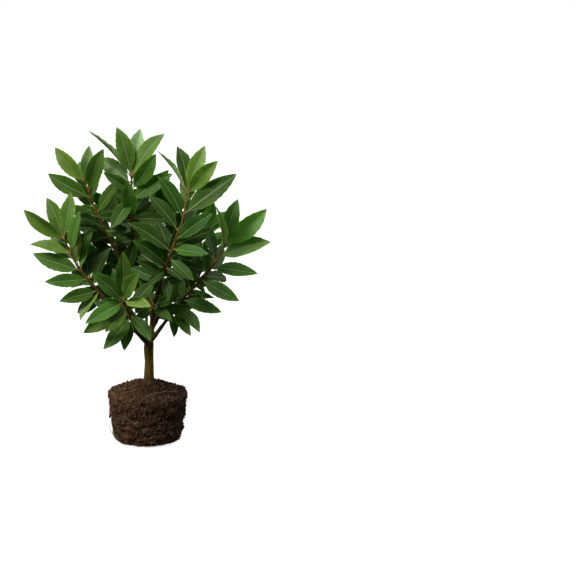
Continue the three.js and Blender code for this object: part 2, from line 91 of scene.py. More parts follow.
# Stem from inside the older wood to the tip, the length that is bare, the side that the
# leaves face, and the leaves: [below the tip, heading, lean to the front, length, roll].
FRONT = [0, -1, 0.5]
BACK = [0, 1, 0.5]
SHOOTS = [
    {
        "name": "shoot_left",
        "stem": [[2, 0, 184], [-25, -8, 213], [-52, -14, 245], [-80, -20, 277], [-126, -22, 334],
                 [-154, -20, 391]],
        "bare": 118,
        "facing": [-0.5, -0.85, 0.45],
        "leaves": [
            [4, 144, -5, 90, -20], [5, 112, -15, 84], [3, 80, -12, 86, 35], [31, 75, 15, 84],
            [34, 165, 5, 76, 25], [70, 160, 5, 92], [90, 181, 20, 80, -20], [60, 90, -30, 84],
            [68, 74, -15, 84], [118, 191, 25, 76, -40], [122, 233, 30, 66, -10],
            [20, 125, -50, 80], [48, 144, -50, 80, 20], [95, 100, -50, 80], [110, 150, -45, 75],
            [105, 66, -10, 78], [89, 24, -25, 72, 35], [133, 216, -25, 68, -35],
        ],
    },
    {
        "name": "shoot_front_low",
        "stem": [[2, 0, 186], [-14, -16, 206], [-25, -38, 225], [-34, -76, 261], [-44, -112, 293]],
        "bare": 46,
        "facing": FRONT,
        "leaves": [
            [5, 135, 15, 80], [3, 90, -5, 88], [4, 65, 35, 80], [6, 0, 45, 68], [9, 205, 30, 84],
            [14, 215, 10, 90, -40], [25, 225, 50, 76], [65, 226, 40, 86], [72, 254, 40, 66],
            [55, 315, 38, 70], [30, 110, -25, 78], [48, 50, -15, 75], [58, 160, 0, 70],
            [89, 120, 0, 76],
        ],
    },
    {
        "name": "shoot_upper_left",
        "stem": [[5, 5, 250], [-24, 15, 288], [-59, 28, 355], [-94, 30, 428], [-119, 30, 493]],
        "bare": 75,
        "facing": [-0.3, -0.95, 0.5],
        "leaves": [
            [6, 131, -5, 84, -20], [2, 80, 12, 68, 35], [25, 72, 10, 88, 50], [38, 152, -5, 91],
            [42, 76, -45, 78], [68, 55, 15, 82], [76, 165, 30, 80], [60, 135, -40, 78],
            [98, 150, 45, 80], [105, 10, 50, 75], [20, 113, -50, 78, -20], [88, 60, -50, 80, 40],
            [125, 125, -50, 80], [118, 185, 20, 78], [140, 205, 30, 70], [135, 15, 10, 72],
            [95, 178, 10, 66], [188, 72, 25, 74, 35], [155, 144, 0, 72, -35],
        ],
    },
    {
        "name": "shoot_top",
        "stem": [[2, 0, 188], [8, 2, 227], [4, 6, 268], [-15, 8, 310], [-27, 10, 378],
                 [-30, 10, 430], [-30, 10, 506]],
        "bare": 150,
        "facing": FRONT,
        "leaves": [
            [3, 106, -5, 92], [2, 80, -12, 90], [8, 133, -5, 116, 43], [5, 54, -8, 100],
            [30, 56, 12, 84, 40], [50, 35, 5, 92], [18, 146, -30, 90, -10], [83, 96, 25, 82],
            [74, 50, -45, 70], [92, 38, -35, 76], [45, 235, 35, 78], [88, 170, 45, 72],
            [15, 95, -50, 80, 30], [65, 120, -50, 78], [112, 150, -35, 78], [125, 30, 25, 75],
            [135, 200, 20, 75], [142, 330, 30, 70], [84, 358, -25, 74], [34, 144, 25, 70],
        ],
    },
    {
        "name": "shoot_upper_right",
        "stem": [[8, 2, 236], [12, -20, 264], [22, -50, 308], [39, -70, 362], [52, -70, 402],
                 [63, -64, 432], [71, -50, 483]],
        "bare": 70,
        "facing": [0.25, -0.95, 0.5],
        "leaves": [
            [5, 126, 0, 92, 55], [3, 101, -18, 90], [2, 69, -5, 88], [8, 50, 10, 84, 20],
            [45, 37, -3, 120], [52, 121, -5, 88], [78, 131, -20, 88], [118, 145, 5, 96],
            [95, 38, 8, 84], [112, 357, 35, 76], [145, 140, 20, 84], [155, 210, 45, 52],
            [130, 320, 28, 64], [150, 332, 50, 52], [168, 283, 40, 54], [30, 90, -50, 78],
            [70, 60, -45, 80, 40], [128, 110, -45, 78], [105, 20, -20, 80], [165, 150, 20, 60],
            [133, 72, 0, 76],
        ],
    },
    {
        "name": "shoot_right",
        "stem": [[3, 0, 188], [15, -3, 204], [40, -10, 240], [67, -14, 277], [92, -14, 303],
                 [122, -12, 339], [144, -10, 378]],
        "bare": 62,
        "facing": [0.5, -0.85, 0.45],
        "leaves": [
            [4, 104, 25, 90, 55], [3, 75, -8, 91, -20], [4, 41, 0, 106], [28, 18, 0, 103],
            [40, 107, -15, 88], [52, 355, 15, 89], [72, 342, -50, 76], [82, 333, 18, 83, 20],
            [133, 343, 12, 78], [148, 315, 35, 72, 20], [158, 305, 35, 63, 40],
            [168, 278, 40, 50, 20], [105, 330, 60, 50], [85, 105, -25, 75], [110, 110, -30, 75],
            [15, 60, -50, 80], [60, 54, -50, 82], [120, 75, -45, 75], [100, 20, -50, 75],
            [62, 165, 5, 70], [70, 95, 15, 70], [128, 170, 30, 52], [166, 24, -25, 74],
        ],
    },
    {
        "name": "shoot_inner",
        "stem": [[7, 1, 222], [8, -14, 238], [8, -28, 255], [10, -40, 272]],
        "bare": 18,
        "facing": FRONT,
        "leaves": [
            [4, 75, -15, 66], [3, 110, -10, 66], [8, 25, 5, 62], [12, 335, 52, 60],
            [16, 205, 25, 50], [26, 50, -30, 60], [12, 0, -25, 70, 35],
        ],
    },
    {
        "name": "shoot_back_left",
        "stem": [[0, 2, 196], [-24, 32, 230], [-54, 66, 266], [-84, 98, 316], [-104, 118, 368]],
        "bare": 70,
        "facing": [-0.6, 0.8, 0.5],
        "spiral": 14,
    },
    {
        "name": "shoot_back_right",
        "stem": [[6, 3, 212], [30, 38, 245], [62, 72, 285], [92, 100, 332], [112, 120, 384]],
        "bare": 65,
        "facing": [0.6, 0.8, 0.5],
        "spiral": 14,
    },
    {
        "name": "shoot_back_low",
        "stem": [[2, 2, 190], [-2, 30, 208], [-2, 66, 232], [4, 104, 262], [8, 132, 300]],
        "bare": 55,
        "facing": BACK,
        "spiral": 11,
    },
    {
        "name": "shoot_back_upper_left",
        "stem": [[7, 5, 240], [-16, 40, 280], [-38, 68, 330], [-58, 84, 385], [-68, 92, 425]],
        "bare": 70,
        "facing": BACK,
        "spiral": 13,
    },
    {
        "name": "shoot_back_upper_right",
        "stem": [[6, 5, 260], [26, 34, 300], [42, 58, 350], [52, 72, 400], [56, 78, 428]],
        "bare": 60,
        "facing": BACK,
        "spiral": 13,
    },
    {
        "name": "shoot_back_top",
        "stem": [[-9, 8, 296], [-2, 36, 330], [2, 64, 375], [2, 80, 425], [2, 86, 450]],
        "bare": 45,
        "facing": BACK,
        "spiral": 12,
    },
]

SPIRAL_TURN = 137.5
TIP_LEAVES = 4
TIP_SPACING = 3
SPACING = 13
SPIRAL_LENGTH = 82
LENGTH_SPREAD = 0.24
SPLAY_AT_TIP = 28
SPLAY_AT_BASE = 66
SPLAY_SPREAD = 10
DROOP = 0.12
SEEDS_PER_SHOOT = 40
NUDGES = [
    [0, 0], [0, 8], [0, -8], [5, 0], [-5, 0], [0, 16], [0, -16], [8, 10], [-8, 10], [8, -10],
    [-8, -10], [0, 26], [0, -26], [14, 0], [-14, 0], [14, 18], [-14, 18], [14, -18], [-14, -18],
    [24, 0], [-24, 0],
]


def unit(v):
    return v / np.linalg.norm(v)


def lerp(a, b, t):
    return a + (b - a) * t


def draw(seed):
    """A repeatable draw between 0 and 1."""
    value = math.sin(seed * 12.9898) * 43758.5453
    return value - math.floor(value)


def turned(v, axis, angle):
    """v turned about a unit axis, in radians."""
    return (v * math.cos(angle) + np.cross(axis, v) * math.sin(angle)
            + axis * np.dot(axis, v) * (1 - math.cos(angle)))


def catmull_rom(points, steps):
    """The smooth line through the points, with as many samples in each span."""
    p = np.array(points, float)
    p = np.vstack([2 * p[0] - p[1], p, 2 * p[-1] - p[-2]])
    line = []
    for i in range(1, len(p) - 2):
        t = np.arange(steps)[:, None] / steps
        tangent_a, tangent_b = (p[i + 1] - p[i - 1]) / 2, (p[i + 2] - p[i]) / 2
        a, b = p[i], p[i + 1]
        line.append(a + tangent_a * t + (-3 * a + 3 * b - 2 * tangent_a - tangent_b) * t**2
                    + (2 * a - 2 * b + tangent_a + tangent_b) * t**3)
    return np.vstack(line + [p[-2:-1]])


class Line:
    """A stem's line, and the place at a distance from its start."""

    def __init__(self, stem):
        self.points = catmull_rom(stem, LINE_STEPS)
        steps = np.linalg.norm(np.diff(self.points, axis=0), axis=1)
        self.distances = np.concatenate([[0], np.cumsum(steps)])
        self.length = self.distances[-1]

    def place(self, distance):
        i = 1
        while i < len(self.points) - 1 and self.distances[i] < distance:
            i += 1
        start = self.points[i - 1]
        along = unit(self.points[i] - start)
        return start + along * (distance - self.distances[i - 1]), along

    def sampled(self, distances):
        return np.stack([np.interp(distances, self.distances, self.points[:, k]) for k in range(3)], 1)

    def radius(self, distance):
        return TWIG_TIP_RADIUS + TWIG_TAPER * (self.length - distance)


def spiral_leaves(line, count, seed):
    leaves = []
    for k in range(count):
        crowded = min(k + 1, TIP_LEAVES)
        below = TIP_SPACING * crowded + SPACING * (k + 1 - crowded)
        along = line.place(line.length - below)[1]
        splay = math.radians(lerp(SPLAY_AT_TIP, SPLAY_AT_BASE, k / count)
                             + SPLAY_SPREAD * draw(seed + k))
        up = np.array([0, 0, 1.0])
        axis = unit(up - along * np.dot(up, along))
        axis = turned(axis, along, math.radians(SPIRAL_TURN * k + 360 * draw(seed)))
        direction = along * math.cos(splay) + axis * math.sin(splay)
        direction[2] -= DROOP
        direction = unit(direction)
        heading = math.degrees(math.atan2(direction[2], direction[0]))
        lean = math.degrees(math.asin(-direction[1]))
        length = SPIRAL_LENGTH * (1 + LENGTH_SPREAD * (draw(seed + k + 0.5) - 0.5))
        leaves.append([below, heading, lean, length])
    return leaves


# Half width of the blade as a share of the greatest one, by station.
OUTLINE = [
    [0.09, 0.07], [0.14, 0.3], [0.2, 0.57], [0.28, 0.83], [0.4, 0.99], [0.53, 1.04], [0.66, 0.95],
    [0.79, 0.72], [0.89, 0.43], [0.96, 0.18], [1, 0.02],
]
SOFT_FOLD = 1.4
VEE = 0.12  # further fold than the CAD leaf has


class Leaf:
    """Where a leaf grows and how it lies."""

    def __init__(self, shoot, line, row, seed, nudge=(0, 0)):
        self.below, heading, lean, self.length = row[:4]
        roll = row[4] if len(row) > 4 else 0
        self.root, self.along = line.place(line.length - self.below)
        turn, tilt = math.radians(heading + nudge[0]), math.radians(lean + nudge[1])
        self.direction = np.array([
            math.cos(turn) * math.cos(tilt), -math.sin(tilt), math.sin(turn) * math.cos(tilt)])
        face = np.array(shoot["facing"], float) + STEM_FACING * self.along
        face = unit(face - self.direction * np.dot(face, self.direction))
        self.face = turned(face, self.direction,
                           math.radians(roll + FACE_SPREAD * (draw(seed) - 0.5)))
        self.side = np.cross(self.direction, self.face)
        self.phase = 2 * math.pi * draw(seed + 0.5)
        self.seed = seed

    def point(self, station, across, lift, soft=0.0, extra=0.0):
        """Points of the leaf. A soft fold is round within that many millimetres of the midrib."""
        blade = np.clip((station - PETIOLE_END) / (1 - PETIOLE_END), 0, 1)
        margin = np.minimum(1, 2 * np.abs(across) / (LEAF_WIDTH * self.length))
        wave = np.sin(3 * math.pi * blade + self.phase + np.sign(across)) * np.sin(math.pi * blade)
        arch = LEAF_ARCH * self.length * np.sin(math.pi * station)
        fold = LEAF_FOLD * (np.sqrt(across**2 + soft**2) - soft) * np.sqrt(blade)
        height = arch + fold + MARGIN_WAVE * self.length * wave * margin + lift + extra
        return (self.root + np.multiply.outer(station * self.length, self.direction)
                + np.multiply.outer(across, self.side) + np.multiply.outer(height, self.face))

    def sheet(self, rows, columns):
        """Points all over the blade, without its thickness."""
        station, across = np.meshgrid(np.linspace(PETIOLE_END, 1, rows),
                                      np.linspace(-1, 1, columns), indexing="ij")
        across = across * LEAF_WIDTH * self.length / 2 * np.interp(station, *np.array(OUTLINE).T)
        return self.point(station, across, 0, SOFT_FOLD, VEE * np.abs(across)).reshape(-1, 3)

    def corners(self):
        """The corners that the CAD leaf has on its blade."""
        half, lift = LEAF_WIDTH * self.length / 2, LEAF_THICKNESS / 2
        rows = [[s, side * share * half, rise] for s, share in BLADE_STATIONS
                for side in (-1, 0, 1) for rise in (-lift, lift)]
        station, across, rise = np.array(rows + [[1, 0, lift], [1, 0, -lift]]).T
        return self.point(station, across, rise)


def tree_of(points):
    tree = KDTree(len(points))
    for i, p in enumerate(points):
        tree.insert(p, i)
    tree.balance()
    return tree


SAME_PLACE = 0.00002  # metres
FEWEST_MATCHES = 5


def grown_leaves(shoot, line, order):
    """The leaves of a shoot as its CAD node has them: each took the first clear place."""
    tree = tree_of([v.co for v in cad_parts[shoot["name"]].data.vertices])
    leaves = []
    rows = shoot.get("leaves") or spiral_leaves(line, shoot["spiral"], order)
    for k, row in enumerate(rows):
        for nudge in NUDGES:
            leaf = Leaf(shoot, line, row, SEEDS_PER_SHOOT * order + k, nudge)
            near = [tree.find(Vector(p) * MM)[2] < SAME_PLACE for p in leaf.corners()]
            if sum(near) >= FEWEST_MATCHES:
                leaves.append(leaf)
                break
    return leaves


# ---------------------------------------------------------------- small inner leaves

# Deep in the crown stand more small leaves than the CAD has triangles for. Each takes, of many
# places along the stems, one where it closes a gap in the sight from the front.
SIGHT_STEP = 2.0
SIGHT_CORNER = np.array([-140, 225])
SIGHT_CELLS = 132  # each way
SIGHT_REACH = 0.96  # of the way from the middle of the cells to their edge
FEWEST_CELLS = 6
SKY_PENALTY = 1.6  # for each cell that should stay open
MOST_INNER = 18
MOST_ON_A_SHOOT = 4
INNER_SEED = 30
INNER_START = 12  # below the tip
INNER_END = 4  # above the bare wood
INNER_SPACING = 7
INNER_HEADINGS = range(0, 360, 20)
INNER_LEANS = {"front": (-65, -45, -25), "back": (-60, -35, -10)}  # by the shoot's facing
INNER_LENGTHS = (48, 66)
INNER_ROLLS = (-25, 25)
INNER_SPLAY = (-0.15, 0.93)  # cosines of the widest and the narrowest angle to the stem
INNER_CLEARANCE = 3.2
WOOD_CLEARANCE = 1.2
WOOD_STEP = 3.0
STALK_END = 0.2  # station up to which a leaf may come twice as close to others
OWN_WOOD_END = 0.25  # station up to which a leaf may touch the stem that it grows from
NEAREST = 3  # samples of the wood that a point is held against
# Rows and columns of points on a leaf, for what it hides, the room it needs and the room it takes.
SIGHT_SHEET = (22, 9)
NEEDED_SHEET = (18, 5)
TAKEN_SHEET = (26, 7)


def sight_cells(points):
    """The cells of the front view that points are seen in."""
    ahead = (points - EYE) * (EYE[1] / (EYE[1] - points[:, 1]))[:, None] + EYE
    cells = np.floor((ahead[:, [0, 2]] - SIGHT_CORNER) / SIGHT_STEP).astype(int)
    return np.unique(np.clip(cells, 0, SIGHT_CELLS - 1) @ [SIGHT_CELLS, 1])


def open_sight():
    """Where the sight passes through the crown's middle, and where it passes beside it."""
    points, faces = [], []
    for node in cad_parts.values():
        start = len(points)
        points += [v.co[:] for v in node.data.vertices]
        faces += [[start + i for i in polygon.vertices] for polygon in node.data.polygons]
    tree = BVHTree.FromPolygons(points, faces)
    eye = Vector(EYE) * MM
    is_open = np.zeros((SIGHT_CELLS, SIGHT_CELLS), bool)
    for i, k in np.ndindex(is_open.shape):
        x, z = SIGHT_CORNER + SIGHT_STEP * np.array([i + 0.5, k + 0.5])
        is_open[i, k] = tree.ray_cast(eye, Vector((x, 0, z)) * MM - eye)[0] is None
    i, k = 2 * (np.indices(is_open.shape) + 0.5) / SIGHT_CELLS - 1
    inside = np.hypot(i, k) < SIGHT_REACH
    return (is_open & inside).ravel(), (is_open & ~inside).ravel()


def inner_places(lines):
    """Small leaves in all the places that are tried, each with the cells that it hides."""
    for order, (shoot, line) in enumerate(zip(SHOOTS, lines)):
        leans = INNER_LEANS["back" if shoot["facing"][1] > 0 else "front"]
        belows = np.arange(INNER_START, line.length - shoot["bare"] - INNER_END, INNER_SPACING)
        for row in itertools.product(belows, INNER_HEADINGS, leans, INNER_LENGTHS, INNER_ROLLS):
            seed = INNER_SEED + int(row[0]) % (SEEDS_PER_SHOOT - INNER_SEED)
            leaf = Leaf(shoot, line, row, SEEDS_PER_SHOOT * order + seed)
            if INNER_SPLAY[0] < np.dot(leaf.direction, leaf.along) < INNER_SPLAY[1]:
                yield order, leaf, sight_cells(leaf.sheet(*SIGHT_SHEET))


def inner_leaves(grown, lines):
    """The small leaves of each shoot, clear of each other and of what has grown."""
    gaps, sky = open_sight()
    stops = [np.arange(0, line.length, WOOD_STEP) for line in lines]
    stems = tree_of(np.vstack([line.sampled(d) for line, d in zip(lines, stops)]))
    radius = np.concatenate([line.radius(d) for line, d in zip(lines, stops)])
    owner = np.repeat(range(len(lines)), [len(d) for d in stops])
    trees = [tree_of(np.vstack([leaf.sheet(*TAKEN_SHEET) for leaves in grown for leaf in leaves]))]
    stations = np.repeat(np.linspace(PETIOLE_END, 1, NEEDED_SHEET[0]), NEEDED_SHEET[1])

    def gain(cells):
        return gaps[cells].sum() - SKY_PENALTY * sky[cells].sum()

    def is_clear(order, leaf):
        for p, station in zip(leaf.sheet(*NEEDED_SHEET), stations):
            room = INNER_CLEARANCE / (2 if station < STALK_END else 1)
            if any(tree.find(p)[2] < room for tree in trees):
                return False
            for _, i, away in stems.find_n(p, NEAREST):
                own = owner[i] == order and station < OWN_WOOD_END
                if away < radius[i] + WOOD_CLEARANCE and not own:
                    return False
        return True

    places = [place for place in inner_places(lines) if gain(place[2]) >= FEWEST_CELLS]
    places.sort(key=lambda place: -gain(place[2]))
    chosen = [[] for _ in lines]
    for order, leaf, cells in places:
        has_room = len(trees) <= MOST_INNER and len(chosen[order]) < MOST_ON_A_SHOOT
        if has_room and gain(cells) >= FEWEST_CELLS and is_clear(order, leaf):
            chosen[order].append(leaf)
            gaps[cells] = False
            trees.append(tree_of(leaf.sheet(*TAKEN_SHEET)))
    return chosen


# ---------------------------------------------------------------- mesh tools


def linked(name, mesh):
    obj = bpy.data.objects.new(name, mesh)
    bpy.context.scene.collection.objects.link(obj)
    return obj


class Builder:
    """Collects closed shells with their material and point values, then makes one object."""

    def __init__(self):
        self.points, self.faces, self.kinds, self.place, self.tone = [], [], [], [], []
        self.count = 0

    def add(self, points, faces, kinds=0, place=(0, 0, 0), tone=(0, 0, 0)):
        """Adds a shell. kinds is the number of its material, or a list of one for each face."""
        self.points.append(points)
        self.faces += [[self.count + corner for corner in face] for face in faces]
        self.kinds += [kinds] * len(faces) if isinstance(kinds, int) else kinds
        self.place.append(np.broadcast_to(place, points.shape))
        self.tone.append(np.broadcast_to(tone, points.shape))
        self.count += len(points)

    def object(self, name, materials, sharp=None):
        mesh = bpy.data.meshes.new(name)
        mesh.from_pydata((np.vstack(self.points) * MM).tolist(), [], self.faces)
        for material in materials:
            mesh.materials.append(material)
        mesh.polygons.foreach_set("material_index", self.kinds)
        for key, values in (("place", self.place), ("tone", self.tone)):
            layer = mesh.attributes.new(key, "FLOAT_VECTOR", "POINT")
            layer.data.foreach_set("vector", np.vstack(values).astype(np.float32).ravel())
        mesh.shade_smooth()
        if sharp:
            mesh.set_sharp_from_angle(angle=math.radians(sharp))
        mesh.update()
        return linked(name, mesh)


def finish_piece(obj, slot, *nodes):
    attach(obj, "root")
    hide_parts(*nodes)


def ring_faces(rings, sides):
    """Faces of a closed skin over rings of points, which the middles of both ends follow."""
    i, k = np.meshgrid(np.arange(rings - 1), np.arange(sides), indexing="ij")
    a, b = i * sides + k, i * sides + (k + 1) % sides
    quads = np.stack([a, b, b + sides, a + sides], -1).reshape(-1, 4).tolist()
    start, end, last = rings * sides, rings * sides + 1, (rings - 1) * sides
    caps = [[start, (k + 1) % sides, k] for k in range(sides)]
    caps += [[end, last + k, last + (k + 1) % sides] for k in range(sides)]
    return quads + caps


def add_tube(builder, line, radii, sides, kind=0, place=(0, 0, 0), tone=(0, 0, 0), squash=1.0):
    """Adds a closed tube along a line of points. place may hold a row for each of them."""
    line = np.asarray(line, float)
    along = np.gradient(line, axis=0)
    along /= np.linalg.norm(along, axis=1)[:, None]
    side = np.cross(along[0], [0.3, 0.2, 1.0] if abs(along[0][2]) < 0.9 else [1.0, 0.2, 0])
    turn = 2 * math.pi * np.arange(sides) / sides
    cos, sin = np.cos(turn)[:, None], np.sin(turn)[:, None] * squash
    rings = []
    for point, forward, radius in zip(line, along, np.broadcast_to(radii, len(line))):
        side = unit(side - forward * np.dot(side, forward))
        rings.append(point + radius * (cos * side + sin * np.cross(forward, side)))
    points = np.vstack(rings + [line[:1], line[-1:]])
    if np.ndim(place) == 2:
        place = np.vstack([np.repeat(place, sides, axis=0), place[:1], place[-1:]])
    builder.add(points, ring_faces(len(line), sides), kind, place, tone)


def smooth_curve(stops, x):
    """A smooth curve through stops of [x, y]."""
    xs, ys = np.array(stops, float).T
    slope = np.gradient(ys, xs)
    i = np.clip(np.searchsorted(xs, x, side="right") - 1, 0, len(xs) - 2)
    step = xs[i + 1] - xs[i]
    t = (x - xs[i]) / step
    return ((2 * t**3 - 3 * t**2 + 1) * ys[i] + (t**3 - 2 * t**2 + t) * step * slope[i]
            + (3 * t**2 - 2 * t**3) * ys[i + 1] + (t**3 - t**2) * step * slope[i + 1])


def smoothstep(low, high, x):
    t = np.clip((x - low) / (high - low), 0, 1)
    return t * t * (3 - 2 * t)


# ---------------------------------------------------------------- material tools


class Value:
    """What comes out of a node. It adds, subtracts and multiplies as numbers do."""

    def __init__(self, graph, socket):
        self.graph, self.socket = graph, socket

    def __add__(self, other):
        return self.graph.math("ADD", self, other)

    def __sub__(self, other):
        return self.graph.math("SUBTRACT", self, other)

    def __mul__(self, other):
        return self.graph.math("MULTIPLY", self, other)


class Graph:
    """The nodes of a material or the world, built from short calls."""

    def __init__(self, owner, shader="Principled BSDF"):
        owner.use_nodes = True
        self.owner, self.tree = owner, owner.node_tree
        self.inputs = self.tree.nodes[shader].inputs

    def put(self, socket, value):
        if isinstance(value, Value):
            self.tree.links.new(value.socket, socket)
        else:
            socket.default_value = (*value, 1) if socket.type == "RGBA" else value

    def node(self, kind, inputs=(), output=0, **settings):
        """Adds a node and gives the value of one output, or of all where output is None."""
        node = self.tree.nodes.new("ShaderNode" + kind)
        for key, value in settings.items():
            setattr(node, key, value)
        for key, value in dict(inputs).items():
            self.put(node.inputs[key], value)
        if output is None:
            return [Value(self, socket) for socket in node.outputs]
        return Value(self, node.outputs[output])

    def math(self, operation, a, b=0.5, clamp=False):
        return self.node("Math", {0: a, 1: b}, operation=operation, use_clamp=clamp)

    def split(self, vector):
        return self.node("SeparateXYZ", {0: vector}, None)

    def attribute(self, name):
        return self.split(self.node("Attribute", output="Vector", attribute_name=name))

    def coordinates(self, stretch=(1, 1, 1)):
        place = self.node("TexCoord", output="Object")
        return self.node("Mapping", {"Vector": place, "Scale": stretch})

    def noise(self, scale, detail=3.0, stretch=(1, 1, 1), rough=0.55, distortion=0.0, output=0):
        inputs = {"Vector": self.coordinates(stretch), "Scale": scale, "Detail": detail,
                  "Roughness": rough, "Distortion": distortion}
        return self.node("TexNoise", inputs, output)

    def voronoi(self, scale, feature="F1", stretch=(1, 1, 1)):
        inputs = {"Vector": self.coordinates(stretch), "Scale": scale}
        return self.node("TexVoronoi", inputs, "Distance", feature=feature)

    def range(self, value, low, high, to_low=0.0, to_high=1.0, kind="SMOOTHSTEP"):
        inputs = {"Value": value, "From Min": low, "From Max": high,
                  "To Min": to_low, "To Max": to_high}
        return self.node("MapRange", inputs, interpolation_type=kind, clamp=True)

    def ramp(self, value, stops):
        color = self.node("ValToRGB", {"Fac": value})
        elements = color.socket.node.color_ramp.elements
        while len(elements) < len(stops):
            elements.new(0.5)
        for element, (at, tint) in zip(elements, stops):
            element.position = at
            element.color = (*tint, 1)
        return color

    def mix(self, factor, a, b, blend="MIX"):
        inputs = {"Factor": factor, 6: a, 7: b}
        return self.node("Mix", inputs, 2, data_type="RGBA", blend_type=blend)

    def layers(self, color, *layers):
        """Paints layers of [amount, colour] over a colour."""
        for amount, tint in layers:
            color = self.mix(amount, color, tint)
        return color

    def bump(self, height, distance, strength=1.0):
        return self.node("Bump", {"Height": height, "Distance": distance, "Strength": strength})

    def finish(self, color, roughness, normal, specular):
        for key, value in (("Base Color", color), ("Roughness", roughness), ("Normal", normal),
                           ("Specular IOR Level", specular)):
            self.put(self.inputs[key], value)
        return self.owner


def material_graph(name):
    return Graph(bpy.data.materials.new(name))


# ---------------------------------------------------------------- materials

VEIN_PAIRS = 11
VEIN_CLIMB = (0.25, 0.05)  # of the stations, by the way out from the midrib and its square
BROWN_TIP = (0.075, 0.055, 0.018)
BARK_PATCHES = 40.0  # spread, from patch to patch, of how far below the tip the bark looks
SOILED = 16  # height above the ball up to which the trunk is soiled
TWIG_AGE = 180.0  # distance below the tip from which the bark of twigs looks oldest
TRUNK_AGE = 330.0  # that of trunk and limbs, and the distance that all of the trunk counts as


def leaf_material(name, colors, vein, gloss, relief, specular):
    """A leaf face. place is [across, station, share of the local half width], tone is
    [chance, youth and painted shade, chance]."""
    g = material_graph(name)
    across, station, local = g.attribute("place")
    chance, youth_and_shade, other = g.attribute("tone")
    out, edge = g.math("ABSOLUTE", across), g.math("ABSOLUTE", local)

    rib = g.range(out, g.range(station, 0.1, 0.95, 0.062, 0.024), 0.01)
    wander = (g.noise(60, 2) - 0.5) * 0.9
    climb = out * VEIN_CLIMB[0] + out * out * VEIN_CLIMB[1]
    row = (station - climb) * VEIN_PAIRS + g.math("SIGN", across) * 0.22 + wander + other * 3.0
    veins = g.range(g.math("PINGPONG", row, 0.5), 0.07, 0.015) * g.range(edge, 1.0, 0.5, 0.15, 1.0)
    net = g.range(g.voronoi(520, "DISTANCE_TO_EDGE"), 0.12, 0.0)
    rim = g.range(edge, 0.94, 0.985)
    tip = g.range(station, 0.955, 0.995, 0, 0.6)

    patches = (g.noise(55, 5, rough=0.65) - 0.5) * 0.9
    # Painted shade: the blade is darkened towards the midrib, in its fold. Random tone and mottled
    # patches also vary it.
    light = chance * 0.25 + g.range(edge, 0.0, 0.85, -0.3, 0.0) + patches + 1.0
    hue = g.range(other, 0, 1, 0.484, 0.522, "LINEAR")
    color = g.node("HueSaturation", {"Color": g.ramp(youth_and_shade, colors), "Value": light, "Hue": hue})
    color = g.layers(color, (net * 0.06, vein), (veins * 0.27, vein), (rim * 0.2, vein),
                     (rib * 0.8, vein), (tip, BROWN_TIP))

    rough = g.range(g.noise(90, 4), 0.3, 0.7, gloss, gloss + 0.14) + rib * 0.1
    quilt = g.math("COSINE", row * (2 * math.pi))
    height = (veins + net * 0.25) * relief + g.noise(220, 3) * 0.3 + quilt * 0.28
    g.put(g.inputs["Subsurface Weight"], 0.5)
    g.put(g.inputs["Subsurface Scale"], 0.002)
    g.put(g.inputs["Subsurface Radius"], (0.5, 1.0, 0.1))
    # what the export keeps, as it drops the link
    g.put(g.inputs["Specular IOR Level"], specular)  # the fixed value under the link that finish makes
    shine = g.range(youth_and_shade, 0.1, 0.6, 0.35 * specular, 1.4 * specular)
    return g.finish(color, rough, g.bump(height, 0.0005, 0.6), shine)


def petiole_material():
    """Midrib and stalk. place is [0, station, 0]."""
    g = material_graph("petiole")
    color = g.ramp(g.attribute("place")[1], [
        (0.0, (0.27, 0.14, 0.02)), (0.08, (0.26, 0.20, 0.03)),
        (0.18, (0.21, 0.29, 0.06)), (1.0, (0.17, 0.28, 0.08))])
    color = g.mix(g.range(g.noise(150, 4), 0.4, 0.8, 0, 0.5), color, (0.16, 0.09, 0.03))
    return g.finish(color, 0.5, g.bump(g.noise(500, 3), 0.0003, 0.5), 0.4)


def bark_material(name, stops, reach, moss):
    """Bark, coloured by stops from the tip of a shoot to that many millimetres below it, which
    place holds first."""
    g = material_graph(name)
    streaks = g.noise(150, 5, (1, 1, 0.12), 0.6)
    fine = g.noise(900, 4, (1, 1, 0.25), 0.6)
    patches = g.noise(45, 4)
    mottle = g.noise(330, 3, rough=0.6)
    dots = g.range(g.voronoi(210, "F1", (1, 1, 0.7)), 0.2, 0.1)
    height = g.split(g.node("TexCoord", output="Object"))[2]
    foot = g.range(height, (BALL_TOP_HEIGHT + SOILED) * MM, BALL_TOP_HEIGHT * MM, 0, 0.75)
    below = g.attribute("place")[0] + (patches - 0.5) * BARK_PATCHES
    color = g.layers(
        g.ramp(g.math("DIVIDE", below, reach, clamp=True), stops),
        (g.range(streaks, 0.45, 0.62, 0, 0.75), (0.026, 0.017, 0.005)),
        (g.range(patches, 0.5, 0.72, 0, moss), (0.062, 0.06, 0.012)),
        (foot, (0.045, 0.027, 0.011)),
        (g.range(mottle, 0.5, 0.62, 0, 0.5), (0.024, 0.015, 0.004)),
        (dots * 0.35, (0.18, 0.125, 0.04)),
        (g.range(fine, 0.35, 0.75, 0, 0.25), (0.13, 0.09, 0.016)))
    grain = g.bump(streaks * 1.2 + fine * 0.5 + dots * 0.5, 0.0007, 0.8)
    return g.finish(color, g.range(streaks, 0.3, 0.7, 0.6, 0.82), grain, 0.15)


